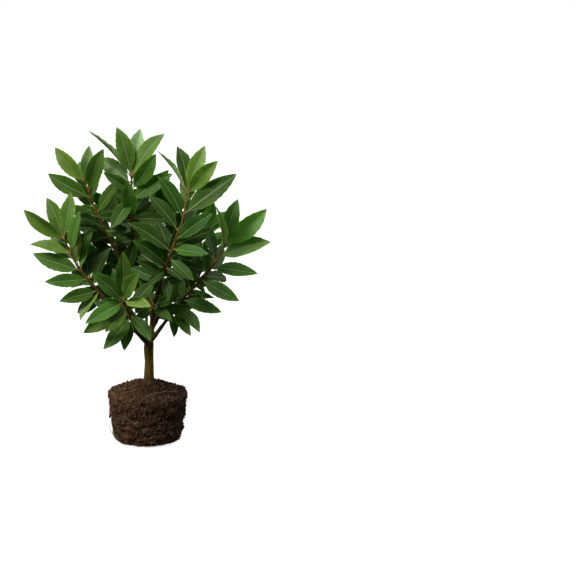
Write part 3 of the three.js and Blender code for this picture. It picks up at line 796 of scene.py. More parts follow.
def soil_material():
    """Soil. place holds how far a point stands out, from -1 to 1, and paints sunk places darker as
    painted shade and raised ones lighter as painted light.
    """
    g = material_graph("soil")
    x, _, z = g.split(g.node("TexCoord", output="Object"))
    fine = g.noise(620, 5, rough=0.7)
    shift = g.noise(240, 3, rough=0.5, output="Color")
    shift = g.node("VectorMath", {0: shift, 1: (0.004, 0.004, 0.004)}, operation="MULTIPLY")
    bent = g.node("VectorMath", {0: g.coordinates((1, 1, 0.8)), 1: shift}, operation="ADD")
    far, grain = g.node("TexVoronoi", {"Vector": bent, "Scale": 240}, None)[:2]
    crumb = g.node("TexVoronoi", {"Vector": bent, "Scale": 520}, "Color")
    # Painted shade: darker between the grains, where the bump sinks.
    pit_shade = g.range(far, 0.42, 0.72)
    # place lightens what stands out and darkens what sinks: painted light and shade.
    level = (g.attribute("place")[0] * 0.17 + fine * 0.2 + grain * 0.34 + crumb * 0.26
             - pit_shade * 0.15)
    # Painted shade: the mound's top is darkened and its grain given more contrast, standing in for
    # shading that the light from above flattens there.
    mound = g.range(z, (BALL_RIM_HEIGHT - 5) * MM, (BALL_TOP_HEIGHT - 8) * MM)
    level = (level - 0.4) * (mound * 0.9 + 1.0) + 0.4 - mound * 0.09
    color = g.ramp(level, [
        (0.14, (0.009, 0.0045, 0.002)), (0.28, (0.020, 0.0102, 0.0046)),
        (0.42, (0.058, 0.031, 0.0155)), (0.64, (0.165, 0.10, 0.057))])
    left = g.range(x, 0.045, -0.06) * 0.6 + 0.15  # reddish patches, stronger towards the lit left side as painted light
    reddish = g.range(g.noise(60, 5, rough=0.6), 0.42, 0.62) * left
    color = g.mix(reddish, color, (0.08, 0.03, 0.011), "SCREEN")
    for scale, flat, bend, share, tint in ((200, 0.6, 3.0, 0.45, (0.10, 0.055, 0.028)),
                                           (330, 0.3, 4.0, 0.4, (0.12, 0.062, 0.03))):
        wool = g.noise(scale, 2, (1, 1, flat), 0.5, bend)
        threads = g.range(wool, 0.47, 0.5) * g.range(wool, 0.53, 0.5)
        color = g.mix(threads * share, color, tint)
    height = fine + g.noise(1300, 4, rough=0.7) * 0.4 - far * 0.9
    return g.finish(color, g.range(fine, 0.3, 0.7, 0.85, 0.98), g.bump(height, 0.0025), 0.1)


def root_material():
    """Root skin. tone is [chance, how pale, 0]."""
    g = material_graph("root_skin")
    chance, pale, _ = g.attribute("tone")
    color = g.layers(
        g.mix(pale, (0.038, 0.021, 0.012), (0.21, 0.135, 0.078)),
        (g.range(g.noise(300, 4), 0.4, 0.7, 0, 0.7), (0.026, 0.014, 0.008)),
        (chance * 0.3, (0.11, 0.045, 0.02)))
    return g.finish(color, g.range(g.noise(200, 2), 0.3, 0.7, 0.7, 0.9),
                    g.bump(g.noise(1500, 4), 0.0003, 0.7), 0.25)


# Colours by youth and painted shade: old leaves inside the crown, darkest there as painted shade,
# leaves at its outside, young ones, and the palest.
leaf_upper = leaf_material(
    "leaf_upper", [(0.0, (0.009, 0.032, 0.0015)), (0.32, (0.046, 0.107, 0.007)),
                   (0.8, (0.134, 0.240, 0.022)), (0.93, (0.20, 0.30, 0.12)),
                   (1.0, (0.34, 0.44, 0.15))],
    vein=(0.24, 0.36, 0.12), gloss=0.36, relief=-1.0, specular=0.28)
leaf_under = leaf_material(
    "leaf_under", [(0.0, (0.027, 0.069, 0.010)), (0.32, (0.070, 0.142, 0.023)),
                   (0.8, (0.152, 0.262, 0.056)), (0.93, (0.22, 0.32, 0.14)),
                   (1.0, (0.38, 0.48, 0.18))],
    vein=(0.2, 0.29, 0.075), gloss=0.56, relief=1.2, specular=0.15)
petiole = petiole_material()
twig_bark = bark_material("twig_bark", [
    (0.0, (0.15, 0.10, 0.014)), (0.12, (0.21, 0.112, 0.013)), (0.4, (0.10, 0.064, 0.010)),
    (0.75, (0.042, 0.028, 0.006)), (1.0, (0.034, 0.023, 0.006))], reach=TWIG_AGE, moss=0.2)
trunk_bark = bark_material("trunk_bark", [
    (0.0, (0.13, 0.09, 0.015)), (0.4, (0.040, 0.027, 0.007)), (0.75, (0.066, 0.045, 0.008)),
    (1.0, (0.13, 0.085, 0.010))], reach=TRUNK_AGE, moss=0.5)
soil = soil_material()
root_skin = root_material()

# ---------------------------------------------------------------- leaves

BLADE_ROWS = 27
BLADE_COLUMNS = 11  # odd, with the midrib in the middle
PLATE = 0.22  # half the thickness of the blade
CRISP = 0.008  # height of the small margin waves, of the length
SCALLOP = 0.03  # of the half width
SWAY = 0.045  # of the length, how far the midrib may bend to the side
HOOK = 1.3  # of that bend, how far the tip turns back
RIB_STOPS = 15
RIB_SIDES = 6
RIB_ROOT = 1.3
RIB_TIP = 0.2
RIB_SUNK = 0.72  # of its radius
UPPER_FACE, UNDER_FACE, RIB_FACE = 0, 1, 2


def leaf_sway(leaf, chance, blade):
    """How far the midrib bends to the side, most of all at the hooked tip."""
    hook = HOOK * smoothstep(0.75, 1.05, blade)
    return (chance - 0.5) * SWAY * leaf.length * (np.sin(math.pi * blade) - hook)


def add_blade(builder, leaf, tone, chance):
    """The rippled blade with its scalloped margin, thinning to nothing at its edge."""
    rows, columns = BLADE_ROWS, BLADE_COLUMNS
    t, u = np.linspace(0, 1, rows), np.linspace(-1, 1, columns)
    station = lerp(PETIOLE_END, 1, 0.75 * t + 0.25 * (1 - np.cos(math.pi * t)) / 2)
    local = 0.55 * np.sin(math.pi / 2 * u) + 0.45 * u
    s, u = np.meshgrid(station, local, indexing="ij")
    blade = (s - PETIOLE_END) / (1 - PETIOLE_END)
    half = LEAF_WIDTH * leaf.length / 2
    ripples = 2 * math.pi * (6 + 3 * chance[2]) * blade
    scallop = np.sin(ripples + 6 * chance[3] + np.sign(u) * 1.9) * np.sign(np.abs(u))
    across = u * half * smooth_curve(OUTLINE, s) * (1 + SCALLOP * scallop)
    crisp = np.sin(ripples + 6 * chance[4] + np.sign(u) * 1.3) * np.abs(u)**3
    crisp *= CRISP * leaf.length * np.sin(math.pi * blade)**0.5
    plate = PLATE * np.sin(math.pi * np.clip(blade, 0, 1))**0.3
    plate[[0, -1]] = 0
    plate[:, [0, -1]] = 0
    swayed = across + leaf_sway(leaf, chance[5], blade)
    top, under = (leaf.point(s, swayed, lift, SOFT_FOLD, VEE * np.abs(across) + crisp)
                  for lift in (plate, -plate))

    upper = np.arange(rows * columns).reshape(rows, columns)
    lower = upper.copy()
    inner = (rows - 2) * (columns - 2)
    lower[1:-1, 1:-1] = rows * columns + np.arange(inner).reshape(rows - 2, columns - 2)
    points = np.vstack([top.reshape(-1, 3), under[1:-1, 1:-1].reshape(-1, 3)])
    place = np.stack([across / half, s, u], -1)
    place = np.vstack([place.reshape(-1, 3), place[1:-1, 1:-1].reshape(-1, 3)])
    upper_faces = [upper[:-1, :-1], upper[1:, :-1], upper[1:, 1:], upper[:-1, 1:]]
    under_faces = [lower[:-1, :-1], lower[:-1, 1:], lower[1:, 1:], lower[1:, :-1]]
    faces = np.vstack([np.stack(f, -1).reshape(-1, 4) for f in (upper_faces, under_faces)])
    each = (rows - 1) * (columns - 1)
    builder.add(points, faces.tolist(), [UPPER_FACE] * each + [UNDER_FACE] * each, place, tone)


def add_leaf(builder, leaf, youth_and_shade):
    """A blade with its midrib, which runs on as the stalk."""
    chance = [draw(leaf.seed + 0.1 * k) for k in range(1, 7)]
    tone = (chance[0], youth_and_shade, chance[1])
    add_blade(builder, leaf, tone, chance)
    s = np.concatenate([[0], np.linspace(0.03, 0.97, RIB_STOPS)])
    radius = lerp(RIB_ROOT, RIB_TIP, s**0.6) * (1 + 0.25 * np.exp(-(s / 0.03)**2))
    blade = np.clip((s - PETIOLE_END) / (1 - PETIOLE_END), 0, 1)
    sunk = RIB_SUNK * radius * smoothstep(0.04, 0.14, s)
    line = leaf.point(s, leaf_sway(leaf, chance[5], blade), -sunk, SOFT_FOLD)
    add_tube(builder, line, radius, RIB_SIDES, RIB_FACE, np.stack([0 * s, s, 0 * s], 1), tone)


# Painted light and shade: leaves whose colour their place in the crown doesn't tell, made paler or
# darker one by one for how light falls on them, by their number on the shoot.
LEAF_TONE_AND_PAINTED_LIGHT = {
    "shoot_left": {1: 0.35, 3: 0.5, 7: 0.5, 8: 0.5, 10: 0.5, 14: 0.35},
    "shoot_front_low": {2: 0.5, 3: 0.62, 4: 0.3},
    "shoot_upper_left": {1: 0.97, 2: 0.45, 3: 0.22},
    "shoot_top": {0: 0.38, 1: 0.93, 2: 0.5, 3: 0.4, 7: 0.55},
    "shoot_upper_right": {0: 1.0, 1: 0.1, 4: 0.12, 6: 0.05, 8: 0.1},
    "shoot_right": {0: 1.0, 1: 0.3, 2: 0.7, 3: 0.45, 5: 0.12, 8: 0.3, 9: 0.25, 10: 0.25},
}
CROWN_MIDDLE = np.array([-12, 15, 350])
CROWN_REACH = np.array([205, 300, 230])
LIT = (0.45, 0.98)  # shares of that reach, between which leaves look younger and younger and are painted lighter, out of the crown's painted shade
LIT_YOUTH = 0.58
TIP_YOUTH = 0.25
TIP_FADE = 35  # below the tip, over which that is lost
YOUTH_SPREAD = 0.3
MOST_YOUTH = 0.8  # but for the special leaves


def leaf_youth_and_shade(shoot, leaf):
    """How young a leaf looks, from 0 to 1: more so near the tip and out in the light, with leaves
    inside the crown kept darker as painted shade.
    """
    number = leaf.seed % SEEDS_PER_SHOOT
    if number in LEAF_TONE_AND_PAINTED_LIGHT.get(shoot["name"], {}):
        return LEAF_TONE_AND_PAINTED_LIGHT[shoot["name"]][number]
    # Painted shade: leaves near the crown's middle get older, darker colours, and those out at its
    # edge get paler ones.
    out = np.linalg.norm((leaf.point(0.6, 0.0, 0.0) - CROWN_MIDDLE) / CROWN_REACH)
    youth_and_shade = LIT_YOUTH * smoothstep(*LIT, out) + TIP_YOUTH * math.exp(-leaf.below / TIP_FADE)
    return MOST_YOUTH * min(1, max(0, youth_and_shade + YOUTH_SPREAD * (draw(leaf.seed + 0.7) - 0.5)))


# ---------------------------------------------------------------- twigs and buds

TWIG_STEP = 1.6
TWIG_SIDES = 12
TWIG_OVERLAP = 2.5  # with the bare limb below
SCAR_SPACING = 17  # of the scars of fallen leaves
NODE_SWELLING = 0.55
NODE_WIDTH = 2.6
LUMP_SIZE = 3.2
LUMP_HEIGHT = 0.16  # of the radius
TWIG_WOBBLE = 0.5
TIP_BUD_RADIUS = 2.3
SIDE_BUD = np.array([4.4, 1.25])  # length and radius
BUD_SHAPE = np.array([  # way to the tip and share of the radius
    [0, 0.62], [0.12, 0.9], [0.3, 1], [0.5, 0.86], [0.7, 0.58], [0.86, 0.3], [1, 0.04],
])
BUD_PLACE = 8  # a bud is coloured as bark so far below the tip
BUD_TONE = (0, 1, 0)
SCALE_TURNS = (0, 2.1, 4.2)
SCALE_SHAPE = [0.8, 0.8, 0.72, 0.5, 0.1]


def add_bud(builder, root, axis, length, radius):
    """A pointed bud of overlapping scales."""
    t, shape = BUD_SHAPE.T
    line = root + np.multiply.outer(t * length, axis)
    place = np.stack([BUD_PLACE + 0 * t, t, t], 1)
    add_tube(builder, line, radius * shape, 7, 0, place, BUD_TONE, 0.85)
    lean = unit(np.cross(axis, [0.2, 0.9, 0.3]))
    for turn in SCALE_TURNS:
        outward = turned(lean, axis, turn)
        scale = line[:5] + np.multiply.outer(0.34 * radius * shape[:5], outward)
        add_tube(builder, scale, radius * shape[:5] * SCALE_SHAPE, 6, 0, place[:5], BUD_TONE, 0.7)


def add_twig(builder, shoot, line, leaves):
    """The stem of a shoot beyond its bare length, thicker where leaves and old leaf scars are."""
    start = shoot["bare"] - TWIG_OVERLAP
    stops = np.linspace(start, line.length - 3, int((line.length - start) / TWIG_STEP))
    nodes = [line.length - leaf.below for leaf in leaves]
    nodes += list(np.arange(start + 6, line.length - 40, SCAR_SPACING))
    swelling = np.max([np.exp(-((stops - node) / NODE_WIDTH)**2) for node in nodes], 0)
    slim = lerp(0.92, 1.18, np.exp(-(line.length - stops) / 60))
    lumps = np.array([noise.noise(Vector((stop / LUMP_SIZE, line.length, 0))) for stop in stops])
    radius = (line.radius(stops) * slim + NODE_SWELLING * swelling) * (1 + LUMP_HEIGHT * lumps)
    points = line.sampled(stops)
    wobble = np.array([noise.noise_vector(Vector(p) * 0.06) for p in points])
    points = points + TWIG_WOBBLE * wobble * smoothstep(start, start + 25, stops)[:, None]
    place = np.stack([line.length - stops, stops, 0 * stops], 1)
    add_tube(builder, points, radius, TWIG_SIDES, 0, place)
    tip, along = line.place(line.length - BUD_LENGTH)
    add_bud(builder, tip, along, BUD_LENGTH, TIP_BUD_RADIUS)
    for leaf in leaves:
        if leaf.below > 6:
            out = unit(leaf.direction - leaf.along * np.dot(leaf.direction, leaf.along))
            distance = line.length - leaf.below
            root = leaf.root + out * line.radius(distance) * 0.75 + leaf.along * 1.6
            size = 0.75 + 0.5 * draw(leaf.seed + 0.9)
            add_bud(builder, root, unit(0.75 * leaf.along + 0.7 * out), *(SIDE_BUD * size))


# ---------------------------------------------------------------- trunk and limbs

TRUNK_START = 96  # hidden in the soil
TRUNK_END = FORK_HEIGHT + 7
TRUNK_PROFILE = [  # height and radius
    [TRUNK_START, 11.4], [BALL_TOP_HEIGHT - 2, 11.2], [BALL_TOP_HEIGHT + 4, 10.6],
    [BALL_TOP_HEIGHT + 13, 9.6], [BALL_TOP_HEIGHT + 26, 9.0], [FORK_HEIGHT - 35, 8.8],
    [FORK_HEIGHT - 10, 9.3], [FORK_HEIGHT, 8.4], [TRUNK_END, 5],
]
TRUNK_SWAY = 1.1
TRUNK_SIDES, LIMB_SIDES, FLARE_SIDES = 24, 16, 12
WOOD_RING_STEP = 2.0
FLARES = [[-0.3, 9, 11], [1.9, 9, 10], [3.3, 11, 9], [4.7, 9, 7]]  # turn, reach and rise
FLARE_RADII = (4.4, 2.0)  # at the trunk and at the end
FLARE_RINGS = 9
KNOT_START = 20
KNOT_SPACING = 19
KNOT_HEIGHT = 0.5
KNOT_WIDTH = 2.5
COLLAR = {"at": 12, "width": 14, "swelling": 0.16}  # where a limb leaves older wood
VOXEL = 0.00078  # metres


def rough_wood(lines):
    """Trunk, root flare and bare limbs as tubes in each other, and the line of the trunk."""
    builder = Builder()
    heights = np.arange(TRUNK_START, TRUNK_END, WOOD_RING_STEP)
    sway = np.array([noise.noise_vector(Vector((0, 0, 0.03 * h))) for h in heights])
    sway *= smoothstep(BALL_TOP_HEIGHT, BALL_TOP_HEIGHT + 25, heights)[:, None] * TRUNK_SWAY
    middle = np.stack([TRUNK_X + sway[:, 0], sway[:, 1], heights], 1)
    add_tube(builder, middle, smooth_curve(TRUNK_PROFILE, heights), TRUNK_SIDES)
    t = np.linspace(0, 1, FLARE_RINGS)
    for turn, reach, rise in FLARES:
        out = np.array([math.cos(turn), math.sin(turn), 0])
        root = np.array([TRUNK_X, 0, 0]) + np.multiply.outer(5 + reach * t**1.4, out)
        root[:, 2] = BALL_TOP_HEIGHT + rise - (rise + 5) * t**0.8
        add_tube(builder, root, np.linspace(*FLARE_RADII, FLARE_RINGS), FLARE_SIDES)
    for shoot, line in zip(SHOOTS, lines):
        stops = np.linspace(0, shoot["bare"], int(shoot["bare"] / WOOD_RING_STEP))
        radius = line.radius(stops)
        for knot in np.arange(KNOT_START, shoot["bare"], KNOT_SPACING):
            radius = radius + KNOT_HEIGHT * np.exp(-((stops - knot) / KNOT_WIDTH)**2)
        collar = 1 + COLLAR["swelling"] * np.exp(-((stops - COLLAR["at"]) / COLLAR["width"])**2)
        slim = lerp(0.9, 1, np.exp(-stops / 40))
        add_tube(builder, line.sampled(stops), radius * collar * slim, LIMB_SIDES)
    return builder.object("trunk_rough", []), middle


def remeshed(rough):
    """One smooth skin over an object of overlapping tubes, which goes."""
    remesh = rough.modifiers.new("remesh", "REMESH")
    remesh.mode = "VOXEL"
    remesh.voxel_size = VOXEL
    remesh.use_smooth_shade = True
    soften = rough.modifiers.new("soften", "SMOOTH")
    soften.iterations = 8
    soften.factor = 0.5
    graph = bpy.context.evaluated_depsgraph_get()
    mesh = bpy.data.meshes.new_from_object(rough.evaluated_get(graph))
    bpy.data.objects.remove(rough)
    return mesh


def trunk_piece(lines):
    """The wood as one skin, with ridges along the grain."""
    rough, middle = rough_wood(lines)
    mesh = remeshed(rough)
    count = len(mesh.vertices)
    points, normals = np.empty(count * 3), np.empty(count * 3)
    mesh.vertices.foreach_get("co", points)
    mesh.vertex_normals.foreach_get("vector", normals)
    points, normals = points.reshape(-1, 3), normals.reshape(-1, 3)
    samples = tree_of(np.vstack([line.points for line in lines] + [middle]) * MM)
    below = np.concatenate([line.length - line.distances for line in lines]
                           + [np.full(len(middle), TRUNK_AGE)])
    place = np.zeros((count, 3), np.float32)
    lift = np.empty(count)
    for i, p in enumerate(points):
        place[i, 0] = sum(below[j] for _, j, _ in samples.find_n(p, 3)) / 3
        v = Vector(p)
        grain = Vector((v.x * 260, v.y * 260, v.z * 55))
        lift[i] = (0.55 * noise.noise(grain) + 0.28 * noise.noise(grain * 2.7)
                   + 0.35 * noise.noise(v * 110))
    thick = smoothstep(2.5, 9, np.interp(place[:, 0], [100, TRUNK_AGE], [3, 9]))
    points = points + normals * (lift * MM * (0.35 + 0.65 * thick))[:, None]
    mesh.vertices.foreach_set("co", points.ravel())
    mesh.attributes.new("place", "FLOAT_VECTOR", "POINT").data.foreach_set("vector", place.ravel())
    mesh.name = "wood"
    mesh.materials.clear()
    mesh.materials.append(trunk_bark)
    mesh.shade_smooth()
    mesh.update()
    return linked("wood", mesh)


# ---------------------------------------------------------------- root ball


def relief(x, y, z):
    """Rise and fall of the soil between about -1 and 1."""
    total = 0
    for i in range(WAVES["count"]):
        slope = math.cos(WAVES["slope"] * i + 0.5)
        level = math.sqrt(1 - slope * slope)
        turn = WAVES["turn"] * i
        across = level * (math.cos(turn) * x + math.sin(turn) * y) + slope * z
        total = total + np.sin((WAVES["pitch"] + WAVES["growth"] * i) * across + WAVES["phase"] * i)
    return total / math.sqrt(1.5 * WAVES["count"])


def ball_outline():
    """Stops of [way up from the edge of the foot, radius, height], up to the middle of the top."""
    stops = [[BALL_FOOT_RADIUS - FOOT_ROUND, 0]]
    for turn in np.radians([22, 45, 67, 90]):
        stops.append([BALL_FOOT_RADIUS - FOOT_ROUND * (1 - math.sin(turn)),
                      FOOT_ROUND * (1 - math.cos(turn))])
    for share in np.linspace(0, 1, 9)[1:]:
        stops.append([lerp(BALL_FOOT_RADIUS, BALL_RIM_RADIUS, share),
                      lerp(FOOT_ROUND, BALL_RIM_HEIGHT - RIM_ROUND, share)])
    for share in MOUND_RINGS:
        rise = (1 + math.cos(math.pi * share**MOUND_EASE)) / 2
        stops.append([BALL_RIM_RADIUS * share, lerp(BALL_RIM_HEIGHT, BALL_TOP_HEIGHT, rise)])
    stops = np.array(stops)
    way = np.concatenate([[0], np.cumsum(np.linalg.norm(np.diff(stops, axis=0), axis=1))])
    return np.column_stack([way, stops])


OUTLINE_STOPS = ball_outline()
WAY_TO_TOP = OUTLINE_STOPS[-1, 0]
OUTLINE_SAMPLES = 240
OUTLINE_SOFTNESS = 9  # samples over which its corners are rounded
SOIL_COLUMNS = 460
SOIL_ROWS = 176
CRUMB_CELLS = [[0.6, 6.5], [3.0, 3.6]]  # height and size
CRUMB_WAVES = [[0.9, 9], [1.1, 1.5]]  # height and size
CELL_EDGE = 0.45  # how far from its middle, in its size, a cell is level with the surface
FULL_CRUMB = 1.8  # height from which a crumb is painted fully lit as standing out, and a dip fully in painted shade
# The hollow beside the trunk dips the soil and, through the crumbs' height, also darkens its colour
# there as painted shadow of the trunk.
HOLLOW = {"x": 36, "y": -2, "reach_x": 24, "reach_y": 15, "above": 90, "depth": 2.4}
WORN_FOOT = 0.8  # how far the crumbled foot lies inside the CAD solid
WORN_HEIGHT = 22


def clods(p):
    """Height of the crumbs at a point."""
    v = Vector(p)
    rises = [rise * (CELL_EDGE - noise.voronoi(v / size)[0][0]) for rise, size in CRUMB_CELLS]
    rises += [rise * noise.noise(v / size) for rise, size in CRUMB_WAVES]
    return sum(rises)


def hollow(x, y, h):
    """Depth of the hollow beside the trunk, which also paints the trunk's shadow there."""
    x, y = (x - HOLLOW["x"]) / HOLLOW["reach_x"], (y - HOLLOW["y"]) / HOLLOW["reach_y"]
    return HOLLOW["depth"] * np.exp(-x**2 - y**2) * (h > HOLLOW["above"])


def soil_points(way, turn, lift=0.0):
    """Points of the crumbly surface, and the crumbs' height."""
    fine = np.linspace(0, WAY_TO_TOP, OUTLINE_SAMPLES)
    radius, height = (np.interp(fine, OUTLINE_STOPS[:, 0], OUTLINE_STOPS[:, k]) for k in (1, 2))
    kernel = np.hanning(OUTLINE_SOFTNESS)
    kernel = kernel / kernel.sum()
    out, up = (np.convolve(np.pad(v, OUTLINE_SOFTNESS // 2, "edge"), kernel, "valid")
               for v in (np.gradient(height), -np.gradient(radius)))
    r, h, n_out, n_up = (np.interp(way, fine, v) for v in (radius, height, out, up))
    size = np.hypot(n_out, n_up)
    cos, sin = np.cos(turn), np.sin(turn)
    x, y = r * cos, r * sin
    fade = np.minimum(1, h / RELIEF_FADE_HEIGHT) * np.minimum(1, r / RELIEF_FADE_RADIUS)
    middle = np.stack([x, y, h], -1)
    crumb = np.array([clods(p) for p in middle.reshape(-1, 3)]).reshape(np.shape(x))
    # The hollow's depth goes into the crumbs' height, so it also paints shadow.
    crumb = crumb - hollow(x, y, h)
    bulge = SOIL_RELIEF * fade * relief(x, y, h) + crumb * np.minimum(1, 0.15 + h / 8) + lift
    bulge = bulge - WORN_FOOT * np.exp(-h / WORN_HEIGHT)
    normal = np.stack([n_out / size * cos, n_out / size * sin, n_up / size], -1)
    points = middle + normal * bulge[..., None]
    points[..., 2] = np.maximum(points[..., 2], 0)
    return points, crumb


def ball_piece():
    """The crumbly skin of the ball. Every other ring is turned by half a step."""
    turn = 2 * math.pi * np.arange(SOIL_COLUMNS) / SOIL_COLUMNS
    way, turn = np.meshgrid(np.linspace(0, WAY_TO_TOP - 0.5, SOIL_ROWS), turn, indexing="ij")
    turn = turn + math.pi / SOIL_COLUMNS * (np.arange(SOIL_ROWS) % 2)[:, None]
    points, crumb = soil_points(way, turn)
    # Painted light and shade: how far the soil stands out or sinks lightens or darkens its colour.
    stand = np.append(np.clip(crumb.ravel() / FULL_CRUMB, -1, 1), [0, 0])
    points = np.vstack([points.reshape(-1, 3), [[0, 0, 0]], points[-1].mean(0)])
    builder = Builder()
    builder.add(points, ring_faces(SOIL_ROWS, SOIL_COLUMNS), place=np.outer(stand, [1, 0, 0]))
    return builder.object("soil", [soil])


CRUMBS = 2300
CRUMB_MARGIN = 12  # from the edge of the foot and from the middle of the top
CRUMB_LIFT = 0.5
LEAST_CRUMB = 0.4
CRUMB_STRETCH = ([0.7, 0.3, 0.2], [2.0, 0.7, 0.5])  # the least and the most
CRUMB_BEND = 0.35
GOLDEN = (1 + 5**0.5) / 2


def ball_of_faces():
    """Corners and faces of a small round ball."""
    mesh = bpy.data.meshes.new("ico")
    shape = bmesh.new()
    bmesh.ops.create_icosphere(shape, subdivisions=2, radius=1)
    shape.to_mesh(mesh)
    shape.free()
    corners = np.array([v.co[:] for v in mesh.vertices])
    faces = [list(p.vertices) for p in mesh.polygons]
    bpy.data.meshes.remove(mesh)
    return corners, faces


def crumbs_piece():
    """Loose crumbs of bark and peat that stand out of the soil."""
    way = rng.uniform(CRUMB_MARGIN, WAY_TO_TOP - CRUMB_MARGIN, CRUMBS)
    at = soil_points(way, rng.uniform(0, 2 * math.pi, CRUMBS), CRUMB_LIFT)[0]
    corners, faces = ball_of_faces()
    builder = Builder()
    for k in range(CRUMBS):
        size = rng.gamma(4, 0.33) + LEAST_CRUMB
        stretch = size * rng.uniform(*CRUMB_STRETCH)
        waves = np.sin(GOLDEN * k + corners @ rng.normal(0, 2.2, (3, 3)))
        bent = corners * (1 + CRUMB_BEND * waves)
        axes = np.linalg.qr(rng.normal(size=(3, 3)))[0]
        builder.add(at[k] + (bent * stretch) @ axes, faces, place=(rng.uniform(-1.2, 1.1), 0, 0))
    return builder.object("soil_crumbs", [soil])


FINE_ROOTS = 620
ROOT_RADIUS = 1.5
RIDGE_RADIUS = 2.1  # of the first surface root, over the front of the mound
STOUT = 0.45  # radius from which a fine root is less pale
STRAND_STEP = 2.2
LOOPED = 0.16  # share of the fine roots that stand off the soil in a loop
LOOP_HEIGHT = 2.6
FREE_ENDED = 0.24  # share of the fine roots with an end that stands free
FREE_LIFT = (1.5, 6.5)  # the least and the most


def strand(way, turn, heading, length, curl):
    """A root's way over the surface, as ways and turns."""
    ways, turns = [way], [turn]
    for _ in range(int(length / STRAND_STEP)):
        heading += rng.normal(0, curl)
        radius = max(18, np.interp(ways[-1], OUTLINE_STOPS[:, 0], OUTLINE_STOPS[:, 1]))
        way = ways[-1] + STRAND_STEP * math.sin(heading)
        ways.append(float(np.clip(way, 3, WAY_TO_TOP - 14)))
        turns.append(turns[-1] + STRAND_STEP * math.cos(heading) / radius)
    return np.array(ways), np.array(turns)


def surface_root(order, turn, start, sweep, climb, bow):
    """One of the thicker roots, as ways, turns, radii, lifts and tone."""
    t = np.linspace(0, 1, 60)
    ways = start + climb * t + bow * np.sin(math.pi * t) + 1.2 * np.sin(9 * t + turn)
    thick, pale = (ROOT_RADIUS, 0.1) if order else (RIDGE_RADIUS, 0.42)
    radius = thick * (0.72 + 0.28 * np.sin(math.pi * t)) * (1 + 0.12 * np.sin(31 * t))
    lift = 1.4 - 5 * (1 - np.sin(math.pi * t))**6
    return ways, np.radians(turn + sweep * t), radius, lift, (0.2, pale, 0)


def fine_root():
    """A thin root that lies on the soil, at times in a loop or with its end free."""
    thick = rng.gamma(2.0, 0.09) + 0.17
    length = rng.uniform(28, 110)
    ways, turns = strand(rng.uniform(4, WAY_TO_TOP - 16), rng.uniform(0, 2 * math.pi),
                         rng.uniform(0, 2 * math.pi), length, rng.uniform(0.12, 0.34))
    t = np.linspace(0, 1, len(ways))
    loop = LOOP_HEIGHT * np.sin(math.pi * t)**2 if rng.random() < LOOPED else 0
    free = rng.uniform(*FREE_LIFT) * smoothstep(0.6, 1, t) if rng.random() < FREE_ENDED else 0
    lift = thick * 0.8 + loop + free - 1.8 * smoothstep(0.12, 0, t)
    radius = thick * lerp(1, 0.45, t) * (1 + 0.12 * np.sin(23 * t))
    chance, pale = rng.random(), rng.random()**2 * (0.4 if thick > STOUT else 1)
    return ways, turns, radius, lift, (chance, pale, 0)


def roots_piece():
    """All the roots that lie on the ball, smoothed a little and kept above the ground."""
    builder = Builder()
    roots = [surface_root(order, *row) for order, row in enumerate(SURFACE_ROOTS)]
    roots += [fine_root() for _ in range(FINE_ROOTS)]
    for ways, turns, radius, lift, tone in roots:
        points = soil_points(ways, turns, lift)[0]
        for axis in range(3):
            points[1:-1, axis] = np.convolve(points[:, axis], [0.25, 0.5, 0.25], "valid")
        points[:, 2] = np.maximum(points[:, 2], radius)
        add_tube(builder, points, radius, 7 if radius.max() > 1 else 4, tone=tone)
    return builder.object("roots", [root_skin])


# ---------------------------------------------------------------- the plant

lines = [Line(shoot["stem"]) for shoot in SHOOTS]
grown = [grown_leaves(shoot, line, order) for order, (shoot, line) in enumerate(zip(SHOOTS, lines))]
inner = inner_leaves(grown, lines)
for shoot, line, large, small in zip(SHOOTS, lines, grown, inner):
    blades, wood = Builder(), Builder()
    for leaf in large + small:
        add_leaf(blades, leaf, leaf_youth_and_shade(shoot, leaf))
    add_twig(wood, shoot, line, large + small)
    place = shoot["name"].removeprefix("shoot_")
    finish_piece(blades.object("leaves_" + place, [leaf_upper, leaf_under, petiole], 50),
                 "foliage", shoot["name"])
    finish_piece(wood.object("twig_" + place, [twig_bark]), "bark", shoot["name"])

finish_piece(trunk_piece(lines), "bark", "trunk")
finish_piece(ball_piece(), "soil", "root_ball")
finish_piece(crumbs_piece(), "soil", "root_ball")
finish_piece(roots_piece(), "soil", "root_ball")

# ---------------------------------------------------------------- floor, light and camera

FLOOR_REACH = 12000.0
AIM = np.array([265.97, 0, 292.63])  # what the camera looks at
FOCAL_PIXELS = 1071.25
PHOTO_PIXELS = 576  # the photograph's width
SENSOR = 36
ROLL = math.radians(1.40)

scene = bpy.context.scene
scene.view_settings.view_transform = "Standard"


def floor_piece():
    """A plain white ground."""
    g = material_graph("floor")
    tint = g.ramp(g.noise(3, 2), [(0.3, (0.90, 0.90, 0.895)), (0.7, (0.93, 0.93, 0.925))])
    material = g.finish(tint, 0.8, g.bump(g.noise(80, 3), 0.0005, 0.1), 0.2)
    corners = np.array([[-1, -1, 0], [1, -1, 0], [1, 1, 0], [-1, 1, 0]]) * FLOOR_REACH
    builder = Builder()
    builder.add(corners, [[0, 1, 2, 3]])
    return builder.object("floor", [material])


floor = floor_piece()
floor.visible_diffuse = False
floor.visible_glossy = False


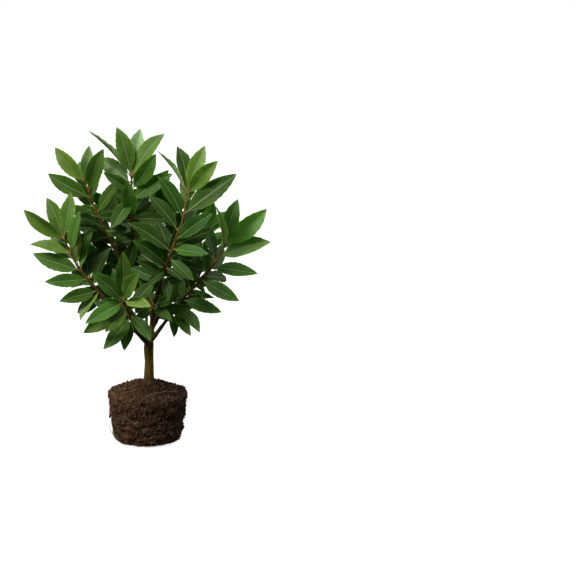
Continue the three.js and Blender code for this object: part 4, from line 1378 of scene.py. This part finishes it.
def sun(name, at, angle, power, color, pieces):
    """A wide soft light that falls evenly on some pieces, as from a large softbox."""
    light = bpy.data.lights.new(name, "SUN")
    light.angle = math.radians(angle)
    light.energy = power
    light.color = color
    obj = linked(name, light)
    obj.rotation_euler = (-Vector(at)).to_track_quat("-Z", "Y").to_euler()
    lit = bpy.data.collections.new(name + "_lit")
    for piece in pieces:
        lit.objects.link(piece)
    obj.light_linking.receiver_collection = lit
    return light


plant = [o for o in scene.objects if o.type == "MESH" and o != floor]
sun("key", at=(-0.55, -0.5, 0.95), angle=22, power=4.7, color=(1.0, 0.985, 0.95), pieces=plant)
sun("fill", at=(0.8, 0.3, 0.45), angle=50, power=0.9, color=(0.96, 0.99, 1.0), pieces=plant)
above = sun("floor_light", at=(0, 0, 1), angle=60, power=2.8, color=(1, 1, 1), pieces=[floor])
above.use_shadow = False


def studio():
    """White to the eye, with a soft light from above, and little from the sides and below."""
    g = Graph(bpy.data.worlds.new("studio"), "Background")
    _, y, z = g.split(g.node("TexCoord", output="Generated"))
    light = g.range(z, -0.1, 0.95, 0.05, 0.62) + g.range(y, -0.5, 0.8, 0.0, 0.25)
    glossy = g.node("LightPath", output="Is Glossy Ray")
    eye = g.node("LightPath", output="Is Camera Ray")
    g.put(g.inputs["Strength"], g.math("MAXIMUM", eye, light * (glossy * -0.75 + 1.0)))
    g.put(g.inputs["Color"], (1, 1, 1))
    return g.owner


def photo_camera():
    """The photograph's own view: from EYE to AIM, turned a little about that line."""
    camera = bpy.data.cameras.new("camera")
    camera.sensor_fit = "HORIZONTAL"
    camera.sensor_width = SENSOR
    camera.lens = SENSOR * FOCAL_PIXELS / PHOTO_PIXELS
    forward = Vector(AIM - EYE).normalized()
    right = forward.cross(Vector((0, 0, 1))).normalized()
    right = right * math.cos(ROLL) + right.cross(forward) * math.sin(ROLL)
    matrix = Matrix((right, right.cross(forward), -forward)).transposed().to_4x4()
    matrix.translation = Vector(EYE) * MM
    viewer = linked("camera", camera)
    viewer.matrix_world = matrix
    return viewer


scene.world = studio()
scene.camera = photo_camera()
